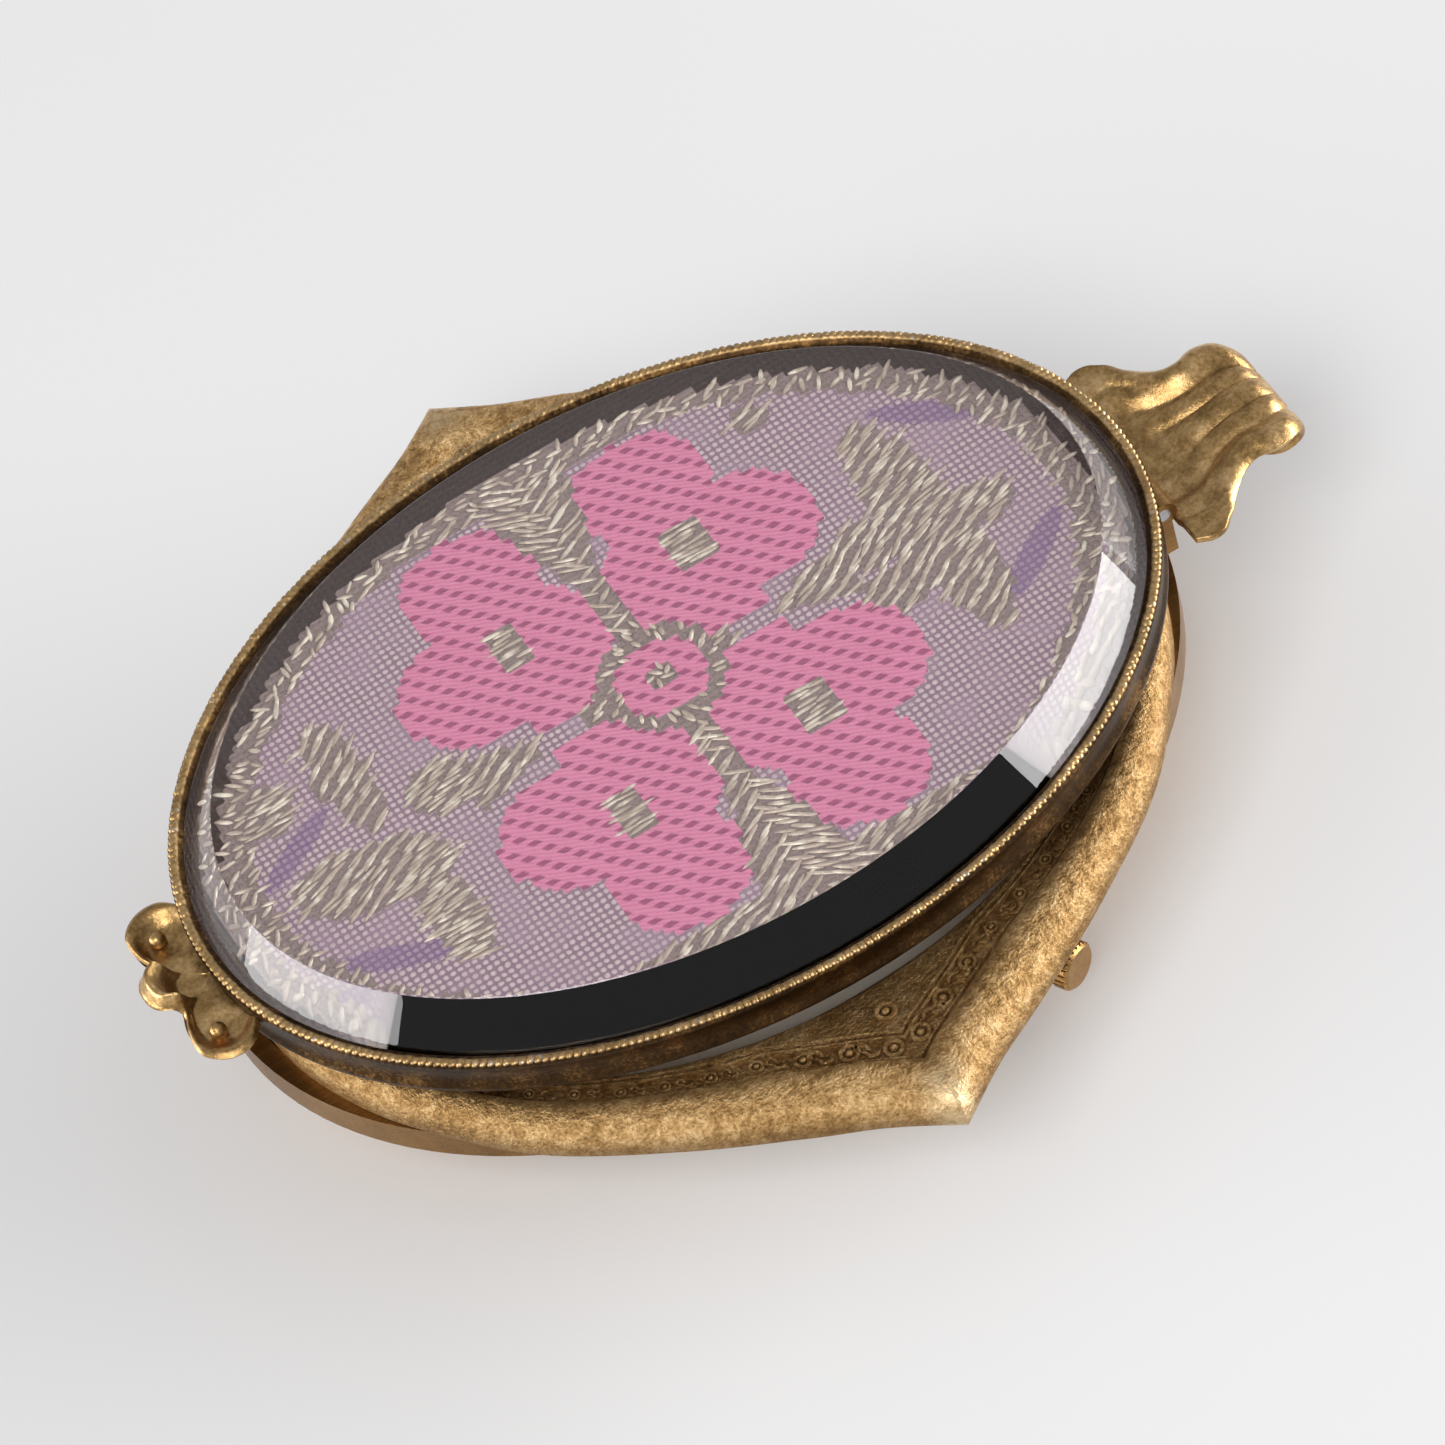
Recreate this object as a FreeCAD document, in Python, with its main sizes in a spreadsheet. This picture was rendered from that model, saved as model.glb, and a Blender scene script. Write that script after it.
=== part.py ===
import FreeCAD, Part
import math
import os
from types import SimpleNamespace

import Sketcher
from FreeCAD import Placement, Rotation, Vector

# A hunter-style fob watch lying on its back.  +Z is up through the dial to the cover, +X points
# to 12 o'clock (the leaf bail), and Z = 0 is the flat resting face of the case back.

doc = FreeCAD.newDocument("fob_watch")

# ---------------------------------------------------------------- driving sizes (mm)

SIZES = {
    # case
    "case_half_length": (20.5, "oval case, half its length"),
    "case_half_width": (15.4, "oval case, half its width"),
    "back_floor": (0.5, "case back, floor thickness"),
    "back_top": (5.9, "case back, joint with the band"),
    "back_slope": (0.926, "case back, how far its side draws in per mm of depth"),
    "back_round": (1.2, "case back, rounding round the resting face"),
    "back_wall": (0.65, "case back, side wall measured level"),
    "case_wall": (0.8, "case band, wall"),
    "band_top": (7.3, "case band, top edge"),
    "seat_gap": (0.05, "clearance of a seated piece"),
    "case_gap": (0.15, "clearance of the bridges inside the case back"),
    # ogee frame
    "frame_flat": (19.6, "frame, half length at its round sides"),
    "frame_tip": (21.5, "frame, half width at its two points"),
    "frame_plate": (0.5, "frame, plate thickness"),
    "border_width": (2.6, "frame, raised border"),
    "border_rise": (1.1, "frame, crest of the border over the plate"),
    "opening_inset": (3.5, "frame, oval opening inside the case length"),
    "opening_side_inset": (1.3, "frame, oval opening inside the case width"),
    # cover
    "cover_bottom": (10.2, "cover, underside"),
    "bezel_height": (1.8, "cover bezel, height"),
    "bezel_wall": (0.7, "cover bezel, wall"),
    "bezel_flange": (1.6, "cover bezel, bottom flange width"),
    "flange_height": (0.15, "cover bezel, bottom flange thickness"),
    "lip_height": (0.25, "cover bezel, burnished lip"),
    "bevel_inset": (2.1, "glass, flat top inside the outline"),
    "glass_rise": (1.4, "glass, flat top over the bezel's crest"),
    "plate_height": (0.3, "cover plate, thickness"),
    "card_height": (0.25, "brocade card, thickness"),
    "fabric_height": (0.2, "brocade, thickness"),
    # hinge and bail
    "hinge_inset": (0.3, "hinge axis inside the end of the case"),
    "hinge_drop": (0.65, "hinge axis below the cover"),
    "hinge_radius": (0.6, "hinge knuckles"),
    "pin_radius": (0.3, "hinge pin"),
    "pin_gap": (0.03, "running clearance of the hinge pin"),
    "knuckle_length": (3.0, "middle knuckle on the cover"),
    "lug_length": (1.8, "each outer knuckle on the case"),
    "leaf_reach": (5.5, "leaf bail, from the case to the axis of its roll"),
    "leaf_half_width": (5.2, "leaf bail, half width at its root"),
    "leaf_thickness": (0.5, "leaf bail, metal"),
    "roll_bore": (0.8, "leaf bail, inner radius of its rolled end"),
    "roll_half_length": (2.4, "leaf bail, half length of the rolled end"),
    "leaf_top": (9.0, "leaf bail, top of its root"),
    "leaf_drop": (0.8, "leaf bail, fall from root to roll axis"),
    "thumb_radius": (1.7, "thumb-piece, side lobes"),
    "thumb_spread": (2.65, "thumb-piece, side lobes off the centre line"),
    "thumb_reach": (0.85, "thumb-piece, side lobes outside the bezel"),
    "thumb_height": (1.0, "thumb-piece, thickness"),
    "thumb_drop": (0.5, "thumb-piece, its top under the burnished lip"),
    # dial side
    "dial_bottom": (4.95, "dial, underside"),
    "dial_height": (0.45, "dial, thickness"),
    "dial_inset": (1.7, "dial inside the case outline"),
    "ring_inset": (1.25, "crystal ring inside the case outline"),
    "ring_width": (0.7, "crystal ring, width"),
    "crystal_bottom": (6.6, "crystal, underside"),
    "hour_hand_length": (7.6, "hour hand"),
    "minute_hand_length": (11.6, "minute hand"),
    # movement
    "movement_radius": (12.0, "main plate"),
    "bridge_bottom": (1.1, "bridges, outer face"),
    "bridge_top": (1.8, "bridges, inner face"),
    "plate_bottom": (3.6, "main plate, train side"),
    "plate_top": (4.4, "main plate, dial side"),
    "train_module": (0.11, "centre and third wheel teeth"),
    "escape_module": (0.09, "fourth wheel teeth"),
    "barrel_module": (0.13, "barrel teeth"),
    "winding_module": (0.2, "crown and ratchet wheel teeth"),
    "motion_module": (0.11, "motion work teeth"),
    "escape_radius": (2.0, "escape wheel"),
    "balance_radius": (3.0, "balance wheel"),
    "wheel_height": (0.15, "train wheels, thickness"),
    "pivot_radius": (0.08, "train pivots"),
    "pivot_gap": (0.02, "running clearance of the pivots"),
    "jewel_radius": (0.45, "jewels"),
    "pillar_radius": (0.55, "bridge pillars"),
    # winding
    "stem_height": (3.1, "stem axis over the resting face"),
    "stem_radius": (0.4, "stem"),
    "stem_gap": (0.03, "running clearance of the stem"),
    "tube_radius": (0.85, "case tube"),
    "crown_radius": (1.0, "crown"),
    "crown_length": (0.8, "crown"),
    "crown_gap": (0.1, "crown off the case band"),
}

sheet = doc.addObject("Spreadsheet::Sheet", "sizes")
for row, (alias, (number, note)) in enumerate(SIZES.items(), start=1):
    sheet.set(f"A{row}", alias)
    sheet.set(f"B{row}", str(number))
    sheet.setAlias(f"B{row}", alias)
    sheet.set(f"C{row}", note)
doc.recompute()


class Size:
    """A length: its value, and the spreadsheet expression that drives it."""

    def __init__(self, value, text):
        self.value, self.text = float(value), text

    def __float__(self):
        return self.value

    def __add__(self, other):
        other = as_size(other)
        return Size(self.value + other.value, f"({self.text} + {other.text})")

    def __sub__(self, other):
        other = as_size(other)
        return Size(self.value - other.value, f"({self.text} - {other.text})")

    def __mul__(self, factor):
        factor = as_size(factor)
        return Size(self.value * factor.value, f"({self.text} * {factor.text})")

    def __rsub__(self, other):
        return as_size(other) - self

    def __neg__(self):
        return self * -1

    __radd__ = __add__
    __rmul__ = __mul__


def as_size(number):
    return number if isinstance(number, Size) else Size(number, f"{float(number):.9f}")


s = SimpleNamespace(**{alias: Size(sheet.get(alias), f"sizes.{alias}") for alias in SIZES})

# ---------------------------------------------------------------- builders


def bind(item, prop, size):
    item.setExpression(prop, as_size(size).text)


def place(item, x=0, y=0, z=0):
    for axis, size in zip("xyz", (x, y, z)):
        bind(item, f"Placement.Base.{axis}", size)
    return item


def rod(name, radius, bottom, top, x=0, y=0):
    """An upright cylinder."""
    piece = doc.addObject("Part::Cylinder", name)
    bind(piece, "Radius", radius)
    bind(piece, "Height", as_size(top) - bottom)
    return place(piece, x, y, bottom)


def block(name, low, high):
    """A box between two corners."""
    piece = doc.addObject("Part::Box", name)
    for prop, start, end in zip(("Length", "Width", "Height"), low, high):
        bind(piece, prop, as_size(end) - start)
    return place(piece, *low)


def oval_edge(inset, z, side_inset=None):
    """The case outline, drawn in by an inset."""
    edge = doc.addObject("Part::Ellipse", "outline")
    radii = [s.case_half_width - (inset if side_inset is None else side_inset), s.case_half_length - inset]
    if float(radii[0]) > float(radii[1]):
        edge.Placement = Placement(Vector(0, 0, 0), Rotation(Vector(0, 0, 1), 90))
    for prop, radius in zip(("MinorRadius", "MajorRadius"), sorted(radii, key=float)):
        bind(edge, prop, radius)
    return place(edge, z=z)


def oval(name, inset, bottom, top, side_inset=None):
    """An oval plug that follows the case outline."""
    piece = doc.addObject("Part::Extrusion", name)
    piece.Base = oval_edge(inset, bottom, side_inset)
    piece.DirMode = "Custom"
    piece.Dir = Vector(0, 0, 1)
    bind(piece, "LengthFwd", as_size(top) - bottom)
    piece.Solid = True
    return piece


def oval_cone(name, inset_below, bottom, inset_above, top):
    """An oval plug whose sides slope."""
    piece = doc.addObject("Part::Loft", name)
    piece.Sections = [oval_edge(inset_below, bottom), oval_edge(inset_above, top)]
    piece.Solid = True
    piece.Ruled = True
    return piece


def cut(name, base, *tools):
    piece = doc.addObject("Part::Cut", name)
    piece.Base = base
    piece.Tool = tools[0] if len(tools) == 1 else fuse(name + "_tools", *tools)
    return piece


def fuse(name, *parts):
    piece = doc.addObject("Part::MultiFuse", name)
    piece.Shapes = list(parts)
    return piece


def common(name, *parts):
    piece = doc.addObject("Part::MultiCommon", name)
    piece.Shapes = list(parts)
    return piece


def group(name, parts):
    """Identical loose pieces in one node."""
    piece = doc.addObject("Part::Compound", name)
    piece.Links = list(parts)
    return piece


def made(name, shape, x=0, y=0, z=0):
    """A shape worked out in code, then placed."""
    piece = doc.addObject("Part::Feature", name)
    piece.Shape = shape
    return place(piece, x, y, z)


def outline_sketch(body, name, plane, corners):
    """A closed polygon on one of the body's own planes, every corner driven by its sizes."""
    sketch = body.newObject("Sketcher::SketchObject", name)
    origin_plane = [item for item in body.Origin.OriginFeatures if item.Role == plane][0]
    sketch.AttachmentSupport = (origin_plane, "")
    sketch.MapMode = "FlatFace"
    points = [Vector(float(across), float(up), 0) for across, up in corners]
    for index, point in enumerate(points):
        sketch.addGeometry(Part.LineSegment(point, points[(index + 1) % len(points)]))
    for index in range(len(points)):
        sketch.addConstraint(Sketcher.Constraint("Coincident", index, 2, (index + 1) % len(points), 1))
    for index, (across, up) in enumerate(corners):
        for kind, axis, size in (("DistanceX", -2, across), ("DistanceY", -1, up)):
            if abs(float(size)) < 1e-9:
                sketch.addConstraint(Sketcher.Constraint("PointOnObject", index, 1, axis))
                continue
            number = sketch.addConstraint(Sketcher.Constraint(kind, -1, 1, index, 1, float(size)))
            if isinstance(size, Size):
                bind(sketch, f"Constraints[{number}]", size)
    return sketch


def turned(name, profile, x=0, y=0):
    """A lathe-turned piece on its own Z axis; profile holds its (radius, height) corners."""
    body = doc.addObject("PartDesign::Body", name)
    sketch = outline_sketch(body, name + "_profile", "XZ_Plane", profile)
    turn = body.newObject("PartDesign::Revolution", name + "_turn")
    turn.Profile = sketch
    turn.ReferenceAxis = (sketch, ["V_Axis"])
    turn.Angle = 360
    body.Tip = turn
    return place(body, x, y)


def ring_profile(inner, outer, bottom, top):
    return [(inner, bottom), (outer, bottom), (outer, top), (inner, top)]


def polar(origin, distance, degrees):
    """A point at a distance and direction from another."""
    turn = math.radians(degrees)
    return (distance * math.cos(turn) + origin[0], distance * math.sin(turn) + origin[1])


# ---------------------------------------------------------------- toothed wheels

TOOTH_ROOT, TOOTH_PITCH, TOOTH_TIP = 0.31, 0.235, 0.09   # half widths, in tooth pitches
ADDENDUM, DEDENDUM = 0.75, 1.05                           # in modules


def tooth_ring(teeth, module, phase):
    """The outline of a toothed wheel: straight flanks, rounded down to a narrow tip."""
    pitch = 2 * math.pi / teeth
    radius = float(module) * teeth / 2
    steps = ((radius - DEDENDUM * float(module), TOOTH_ROOT), (radius, TOOTH_PITCH),
             (radius + ADDENDUM * float(module), TOOTH_TIP))
    points = []
    for tooth in range(teeth):
        middle = phase + tooth * pitch
        for side, order in ((-1, steps), (1, steps[::-1])):
            for reach, width in order:
                turn = middle + side * width * pitch
                points.append(Vector(reach * math.cos(turn), reach * math.sin(turn), 0))
    return Part.Face(Part.makePolygon(points + points[:1]))


def disc(radius, height, bottom=0.0, x=0.0, y=0.0):
    return Part.makeCylinder(float(radius), float(height), Vector(float(x), float(y), float(bottom)))


def window(inner, outer, start, end):
    """The opening between two arms of a wheel."""
    def at(radius, turn):
        return Vector(radius * math.cos(turn), radius * math.sin(turn), 0)
    middle = (start + end) / 2
    trim = (end - start) * 0.5 * (1 - inner / outer)
    edges = [Part.Arc(at(inner, start + trim), at(inner, middle), at(inner, end - trim)).toShape(),
             Part.LineSegment(at(inner, end - trim), at(outer, end)).toShape(),
             Part.Arc(at(outer, end), at(outer, middle), at(outer, start)).toShape(),
             Part.LineSegment(at(outer, start), at(inner, start + trim)).toShape()]
    return Part.Face(Part.Wire(edges))


def crossed_out(shape, inner, outer, arms, height):
    """The wheel with the openings between its arms cut away."""
    step = 2 * math.pi / arms
    arm = 0.14 * step
    for number in range(arms):
        face = window(inner, outer, number * step + arm, (number + 1) * step - arm)
        shape = shape.cut(face.extrude(Vector(0, 0, height)))
    return shape


def wheel(name, teeth, module, bottom, bore, phase, at=(0, 0), arms=5, height=None):
    """A flat toothed wheel with arms, bored to sit on its arbor."""
    height = float(height or s.wheel_height)
    shape = tooth_ring(teeth, module, phase).extrude(Vector(0, 0, height))
    rim = float(module) * teeth / 2 - 3.2 * float(module)
    if arms:
        shape = crossed_out(shape, float(bore) + 0.45, rim, arms, height)
    shape = shape.cut(disc(bore, height))
    return made(name, shape, at[0], at[1], bottom)


def pinion(name, teeth, module, levels, arbor, phase, at=(0, 0), seats=()):
    """An arbor with its leaves cut in one piece; levels is their (bottom, top)."""
    bottom, top = (float(level) for level in levels)
    shape = tooth_ring(teeth, module, phase).extrude(Vector(0, 0, top - bottom))
    shape.translate(Vector(0, 0, bottom))
    for radius, low, high in list(arbor) + list(seats):
        shape = shape.fuse(disc(radius, float(high) - float(low), low))
    return made(name, shape.removeSplitter(), at[0], at[1])


def mesh_phase(direction, driver_phase, driver_teeth, driven_teeth):
    """The phase that sets the driven wheel's teeth in the gaps of the driver's."""
    ahead = (driver_phase - direction) * driver_teeth + math.pi
    return direction + math.pi - ahead / driven_teeth


# ---------------------------------------------------------------- case


def back_inset(height, wall=0):
    """How far the case back's side lies inside the outline at a height."""
    return (s.back_top - height) * s.back_slope + wall


def inside_back(name, bottom, top, gap):
    """The room inside the case back, less a clearance."""
    wall = s.back_wall + gap
    return oval_cone(name, back_inset(bottom, wall), bottom, back_inset(top, wall), top)


def build_case():
    foot = back_inset(s.back_floor)
    outer = fuse("back_outer", oval_cone("back_foot", foot + s.back_round, 0, foot, s.back_floor),
                 oval_cone("back_side", foot, s.back_floor, 0, s.back_top))
    tube = stem_rod("back_tube_hole", s.tube_radius, s.movement_radius + s.seat_gap, band_reach())
    cut("case_back", outer, inside_back("back_inside", s.back_floor, s.back_top + 0.3, 0), tube)
    cut("case_band", oval("band_outer", 0, s.back_top, s.band_top),
        oval("band_inside", s.case_wall, s.back_top - 1, s.band_top + 1))


def ogee_wire(inset=0.0):
    """The frame's outline, drawn in: round sides that run out, hollowed, into two points."""
    side, tip = float(s.frame_flat), float(s.frame_tip)
    flat, hip = Vector(side, 0, 0), Vector(0.694 * side, 0.595 * tip, 0)
    bulge, waist = Vector(0.518 * side, 0.72 * tip, 0), Vector(0.332 * side, 0.816 * tip, 0)
    hollow, point = Vector(0.112 * side, 0.912 * tip, 0), Vector(0, tip, 0)
    round_centre = Part.Circle(Vector(hip.x, -hip.y, 0), flat, hip).Center

    def drawn_in(before, here, after):
        run = (after - before).normalize()
        return here - Vector(run.y, -run.x, 0) * inset

    mitre = Vector(0, inset * (point - hollow).Length / (hollow.x - point.x), 0)
    hollow_in, waist_in = drawn_in(waist, hollow, point), drawn_in(bulge, waist, hollow)
    bulge_in, hip_in = drawn_in(hip, bulge, waist), hip + (round_centre - hip).normalize() * inset
    flat, point = flat - Vector(inset, 0, 0), point - mitre

    def quarter(x, y):
        def turned_to(v):
            return Vector(v.x * x, v.y * y, 0)
        run = [[hip_in, bulge_in, waist_in], [waist_in, hollow_in, point]]
        return [Part.Arc(*(turned_to(v) for v in arc)).toShape() for arc in run]

    def side_arc(x):
        below, above = Vector(x * hip_in.x, -hip_in.y, 0), Vector(x * hip_in.x, hip_in.y, 0)
        return Part.Arc(below, flat * x, above).toShape()

    edges = [side_arc(1), side_arc(-1)]
    for x in (1, -1):
        for y in (1, -1):
            edges += quarter(x, y)
    return Part.Wire(Part.__sortEdges__(edges))


def slab(wire, bottom, height):
    shape = Part.Face(wire).extrude(Vector(0, 0, height))
    shape.translate(Vector(0, 0, bottom))
    return shape


def build_frame():
    """One stamping: a flat band round the oval opening, inside a raised border."""
    bottom, plate, rise = float(s.band_top), float(s.frame_plate), float(s.border_rise)
    width = float(s.border_width)
    shape = slab(ogee_wire(), bottom, plate)
    steps = 5
    for step in range(steps):
        low, high = step / steps, (step + 1) / steps
        shoulder = width / 2 * (1 - math.sqrt(1 - high ** 2 * 0.96))
        ring = slab(ogee_wire(shoulder + 0.01), bottom + plate + rise * low, rise / steps)
        step_floor = bottom + plate + rise * low - 1
        ring = ring.cut(slab(ogee_wire(width - shoulder), step_floor, rise / steps + 2))
        shape = shape.fuse(ring)
    frame = made("frame_stamping", shape.removeSplitter())
    opening = oval("frame_opening", s.opening_inset, s.band_top - 1, s.cover_bottom, s.opening_side_inset)
    cut("ogee_frame", frame, opening)


def build_hinge():
    """Knuckles on a cross pin at the 12 o'clock end."""
    axis_x = s.case_half_length - s.hinge_inset
    axis_z = s.cover_bottom - s.hinge_drop
    middle, lug = s.knuckle_length, s.lug_length
    gap = s.pin_gap

    def tube(name, start, length, bore, foot):
        barrel = doc.addObject("Part::Cylinder", name + "_barrel")
        bind(barrel, "Radius", s.hinge_radius)
        bind(barrel, "Height", length)
        web = block(name + "_web", *foot(start, start + length))
        hole = doc.addObject("Part::Cylinder", name + "_hole")
        bind(hole, "Radius", bore)
        bind(hole, "Height", length + 2)
        for item, y in ((barrel, start), (hole, start - 1)):
            item.Placement = Placement(Vector(0, 0, 0), Rotation(Vector(1, 0, 0), -90))
            place(item, axis_x, y, axis_z)
        return cut(name, fuse(name + "_solid", barrel, web), hole)

    def down(start, end):
        return ((axis_x - s.hinge_radius, start, s.band_top), (axis_x + s.hinge_radius * 0.5, end, axis_z))

    def up(start, end):
        return ((axis_x - s.hinge_radius * 2, start, axis_z + s.hinge_radius * 0.3),
                (axis_x, end, s.cover_bottom))

    tube("cover_knuckle", middle * -0.5, middle, s.pin_radius + gap, up)
    left = tube("lug_left", middle * -0.5 - gap - lug, lug, s.pin_radius, down)
    right = tube("lug_right", middle * 0.5 + gap, lug, s.pin_radius, down)
    group("hinge_lugs", [left, right])
    pin = doc.addObject("Part::Cylinder", "hinge_pin")
    bind(pin, "Radius", s.pin_radius)
    bind(pin, "Height", middle + gap * 2 + lug * 2)
    pin.Placement = Placement(Vector(0, 0, 0), Rotation(Vector(1, 0, 0), -90))
    place(pin, axis_x, middle * -0.5 - gap - lug, axis_z)


# ---------------------------------------------------------------- cover


def cover_levels():
    plate = s.cover_bottom + s.flange_height
    card = plate + s.plate_height
    fabric = card + s.card_height
    glass = fabric + s.fabric_height
    crest = s.cover_bottom + s.bezel_height
    return SimpleNamespace(plate=plate, card=card, fabric=fabric, glass=glass, crest=crest)


def build_cover():
    level = cover_levels()
    lip_bottom = level.crest - s.lip_height
    bore = s.bezel_wall
    flange = oval("flange_hole", s.bezel_flange, s.cover_bottom - 1, level.crest)
    bowl = oval("bezel_bore", bore, level.plate, lip_bottom)
    lip = oval_cone("lip_hole", bore, lip_bottom, bore + s.lip_height * 1.1, level.crest)
    cut("cover_bezel", oval("bezel_blank", 0, s.cover_bottom, level.crest), flange, bowl, lip)

    glass_inset = bore + s.seat_gap
    foot = oval("glass_foot", glass_inset, level.glass, lip_bottom - s.seat_gap)
    bevel = oval_cone("glass_bevel", glass_inset, lip_bottom - s.seat_gap, s.bevel_inset,
                      level.crest + s.glass_rise)
    fuse("cover_glass", foot, bevel)
    oval("brocade_panel", glass_inset, level.fabric, level.glass)
    oval("brocade_card", glass_inset, level.card, level.fabric)
    oval("cover_plate", glass_inset, level.plate, level.card)
    build_thumb_piece(level)


def build_thumb_piece(level):
    """Three curled lobes and two beads at the 6 o'clock end of the cover."""
    top = level.crest - s.lip_height - s.thumb_drop
    bottom = top - s.thumb_height
    x = -(s.case_half_length + s.thumb_reach)
    lobes = []
    for number, (dx, y, radius) in enumerate(((0, s.thumb_spread, s.thumb_radius),
                                              (0, -s.thumb_spread, s.thumb_radius),
                                              (-0.55, 0, s.thumb_radius * 0.8))):
        dish = rod(f"lobe_{number}", radius, bottom, top, x + dx, y)
        hollow = rod(f"lobe_hollow_{number}", radius * 0.66, top - s.thumb_height * 0.35, top + 1, x + dx, y)
        bead = rod(f"lobe_bead_{number}", radius * 0.3, bottom, top, x + dx, y)
        lobes.append(fuse(f"lobe_{number}_done", cut(f"lobe_{number}_cut", dish, hollow), bead))
    tongue = block("thumb_tongue", (x, -s.thumb_spread, bottom), (-s.case_half_length + 0.6,
                                                                  s.thumb_spread, bottom + 0.4))
    keep_out = oval("thumb_keep_out", 0, s.cover_bottom - 1, level.crest + 1)
    cut("thumb_piece", fuse("thumb_lobes", *lobes, tongue), keep_out)


# ---------------------------------------------------------------- leaf bail


ROLL_START, ROLL_END = 104.0, -178.0          # degrees round the loop, from its outermost point


def build_leaf():
    """A leaf of sheet metal whose end rolls under into the loop that hangs the watch."""
    thick, bore = float(s.leaf_thickness), float(s.roll_bore)
    start = float(s.case_half_length)
    axis_x = start + float(s.leaf_reach)
    axis_z = float(s.leaf_top) - float(s.leaf_drop)
    outer, top = bore + thick, float(s.leaf_top)
    root = float(s.band_top) - 0.9

    def at(radius, degrees):
        turn = math.radians(degrees)
        return Vector(axis_x + radius * math.cos(turn), 0, axis_z + radius * math.sin(turn))

    crown_out, crown_in = at(outer, ROLL_START), at(bore, ROLL_START)
    root_top, root_low = Vector(start + 0.05, 0, top - 0.3), Vector(start + 0.8, 0, top - thick - 0.3)
    bend = Vector(start + 2.4, 0, top - 0.05)
    upper = Part.Arc(root_top, bend, crown_out).toShape()
    roll_out = Part.Arc(crown_out, at(outer, -25), at(outer, ROLL_END)).toShape()
    nose = Part.LineSegment(at(outer, ROLL_END), at(bore, ROLL_END)).toShape()
    roll_in = Part.Arc(at(bore, ROLL_END), at(bore, -25), crown_in).toShape()
    lower = Part.Arc(crown_in, bend - Vector(0, 0, thick), root_low)
    foot = [Vector(start + 0.8, 0, top - thick - 0.3), Vector(start + 0.8, 0, root),
            Vector(start + 0.05, 0, root), Vector(start + 0.05, 0, top - 0.3)]
    edges = [upper, roll_out, nose, roll_in, lower.toShape()]
    edges += [Part.LineSegment(a, b).toShape() for a, b in zip(foot, foot[1:])]
    half = float(s.leaf_half_width)
    sheet_metal = Part.Face(Part.Wire(edges)).extrude(Vector(0, 2 * half, 0))
    sheet_metal.translate(Vector(0, -half, 0))
    roll = float(s.roll_half_length)
    right = [(start - 1, half), (start + 0.9, half), (start + 3.1, roll * 1.5), (start + 4.6, roll * 1.25),
             (axis_x + outer * 0.3, roll), (axis_x + outer + 0.1, roll * 0.6)]
    rim = Part.BSplineCurve()
    rim.interpolate([Vector(px, py, -1) for px, py in right])
    left = Part.BSplineCurve()
    left.interpolate([Vector(px, -py, -1) for px, py in right[::-1]])
    closing = [Part.LineSegment(rim.EndPoint, left.StartPoint).toShape(),
               Part.LineSegment(left.EndPoint, rim.StartPoint).toShape()]
    plan = Part.Face(Part.Wire([rim.toShape(), closing[0], left.toShape(), closing[1]]))
    shape = sheet_metal.common(plan.extrude(Vector(0, 0, 20)))
    leaf = made("leaf_blank", shape)
    cut("leaf_bail", leaf, oval("leaf_keep_out", 0, 0, s.cover_bottom))


def build_catch():
    """A sprung post on the frame that meets the closed cover."""
    x = -(s.case_half_length - s.bezel_flange * 0.75)
    post = block("catch_post", (x - 0.3, -1.1, s.band_top + s.frame_plate), (x + 0.3, 1.1, s.cover_bottom))
    foot = block("catch_foot", (x - 0.3, -1.5, s.band_top + s.frame_plate),
                 (x + 1.2, 1.5, s.band_top + s.frame_plate + 0.3))
    cut("cover_catch", fuse("catch_solid", post, foot), doc.getObject("frame_stamping"))


# ---------------------------------------------------------------- winding

STEM_DIRECTION = -62.0       # degrees from 12 o'clock, seen from above
stem_turn = math.radians(STEM_DIRECTION)
stem_axis = Vector(math.cos(stem_turn), math.sin(stem_turn), 0)


def band_reach():
    """Distance from the centre to the outside of the band along the stem."""
    return 1 / math.hypot(stem_axis.x / float(s.case_half_length), stem_axis.y / float(s.case_half_width))


def stem_placement(distance):
    base = stem_axis * float(distance)
    base.z = float(s.stem_height)
    return Placement(base, Rotation(Vector(0, 0, 1), stem_axis))


def stem_rod(name, radius, start, end):
    """A cylinder that lies along the stem, between two distances from the centre."""
    piece = doc.addObject("Part::Cylinder", name)
    bind(piece, "Radius", radius)
    piece.Height = float(end) - float(start)
    piece.Placement = stem_placement(start)
    return piece


WINDING_LEAVES = 8
PINION_START, PINION_END = 10.55, 11.25      # winding pinion, from the watch's centre
CROWN_FLUTES, FLUTE_RADIUS, CROWN_CHAMFER, CROWN_BORE_DEPTH = 24, 0.07, 0.15, 0.5
STEM_START = 10.2


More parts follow.
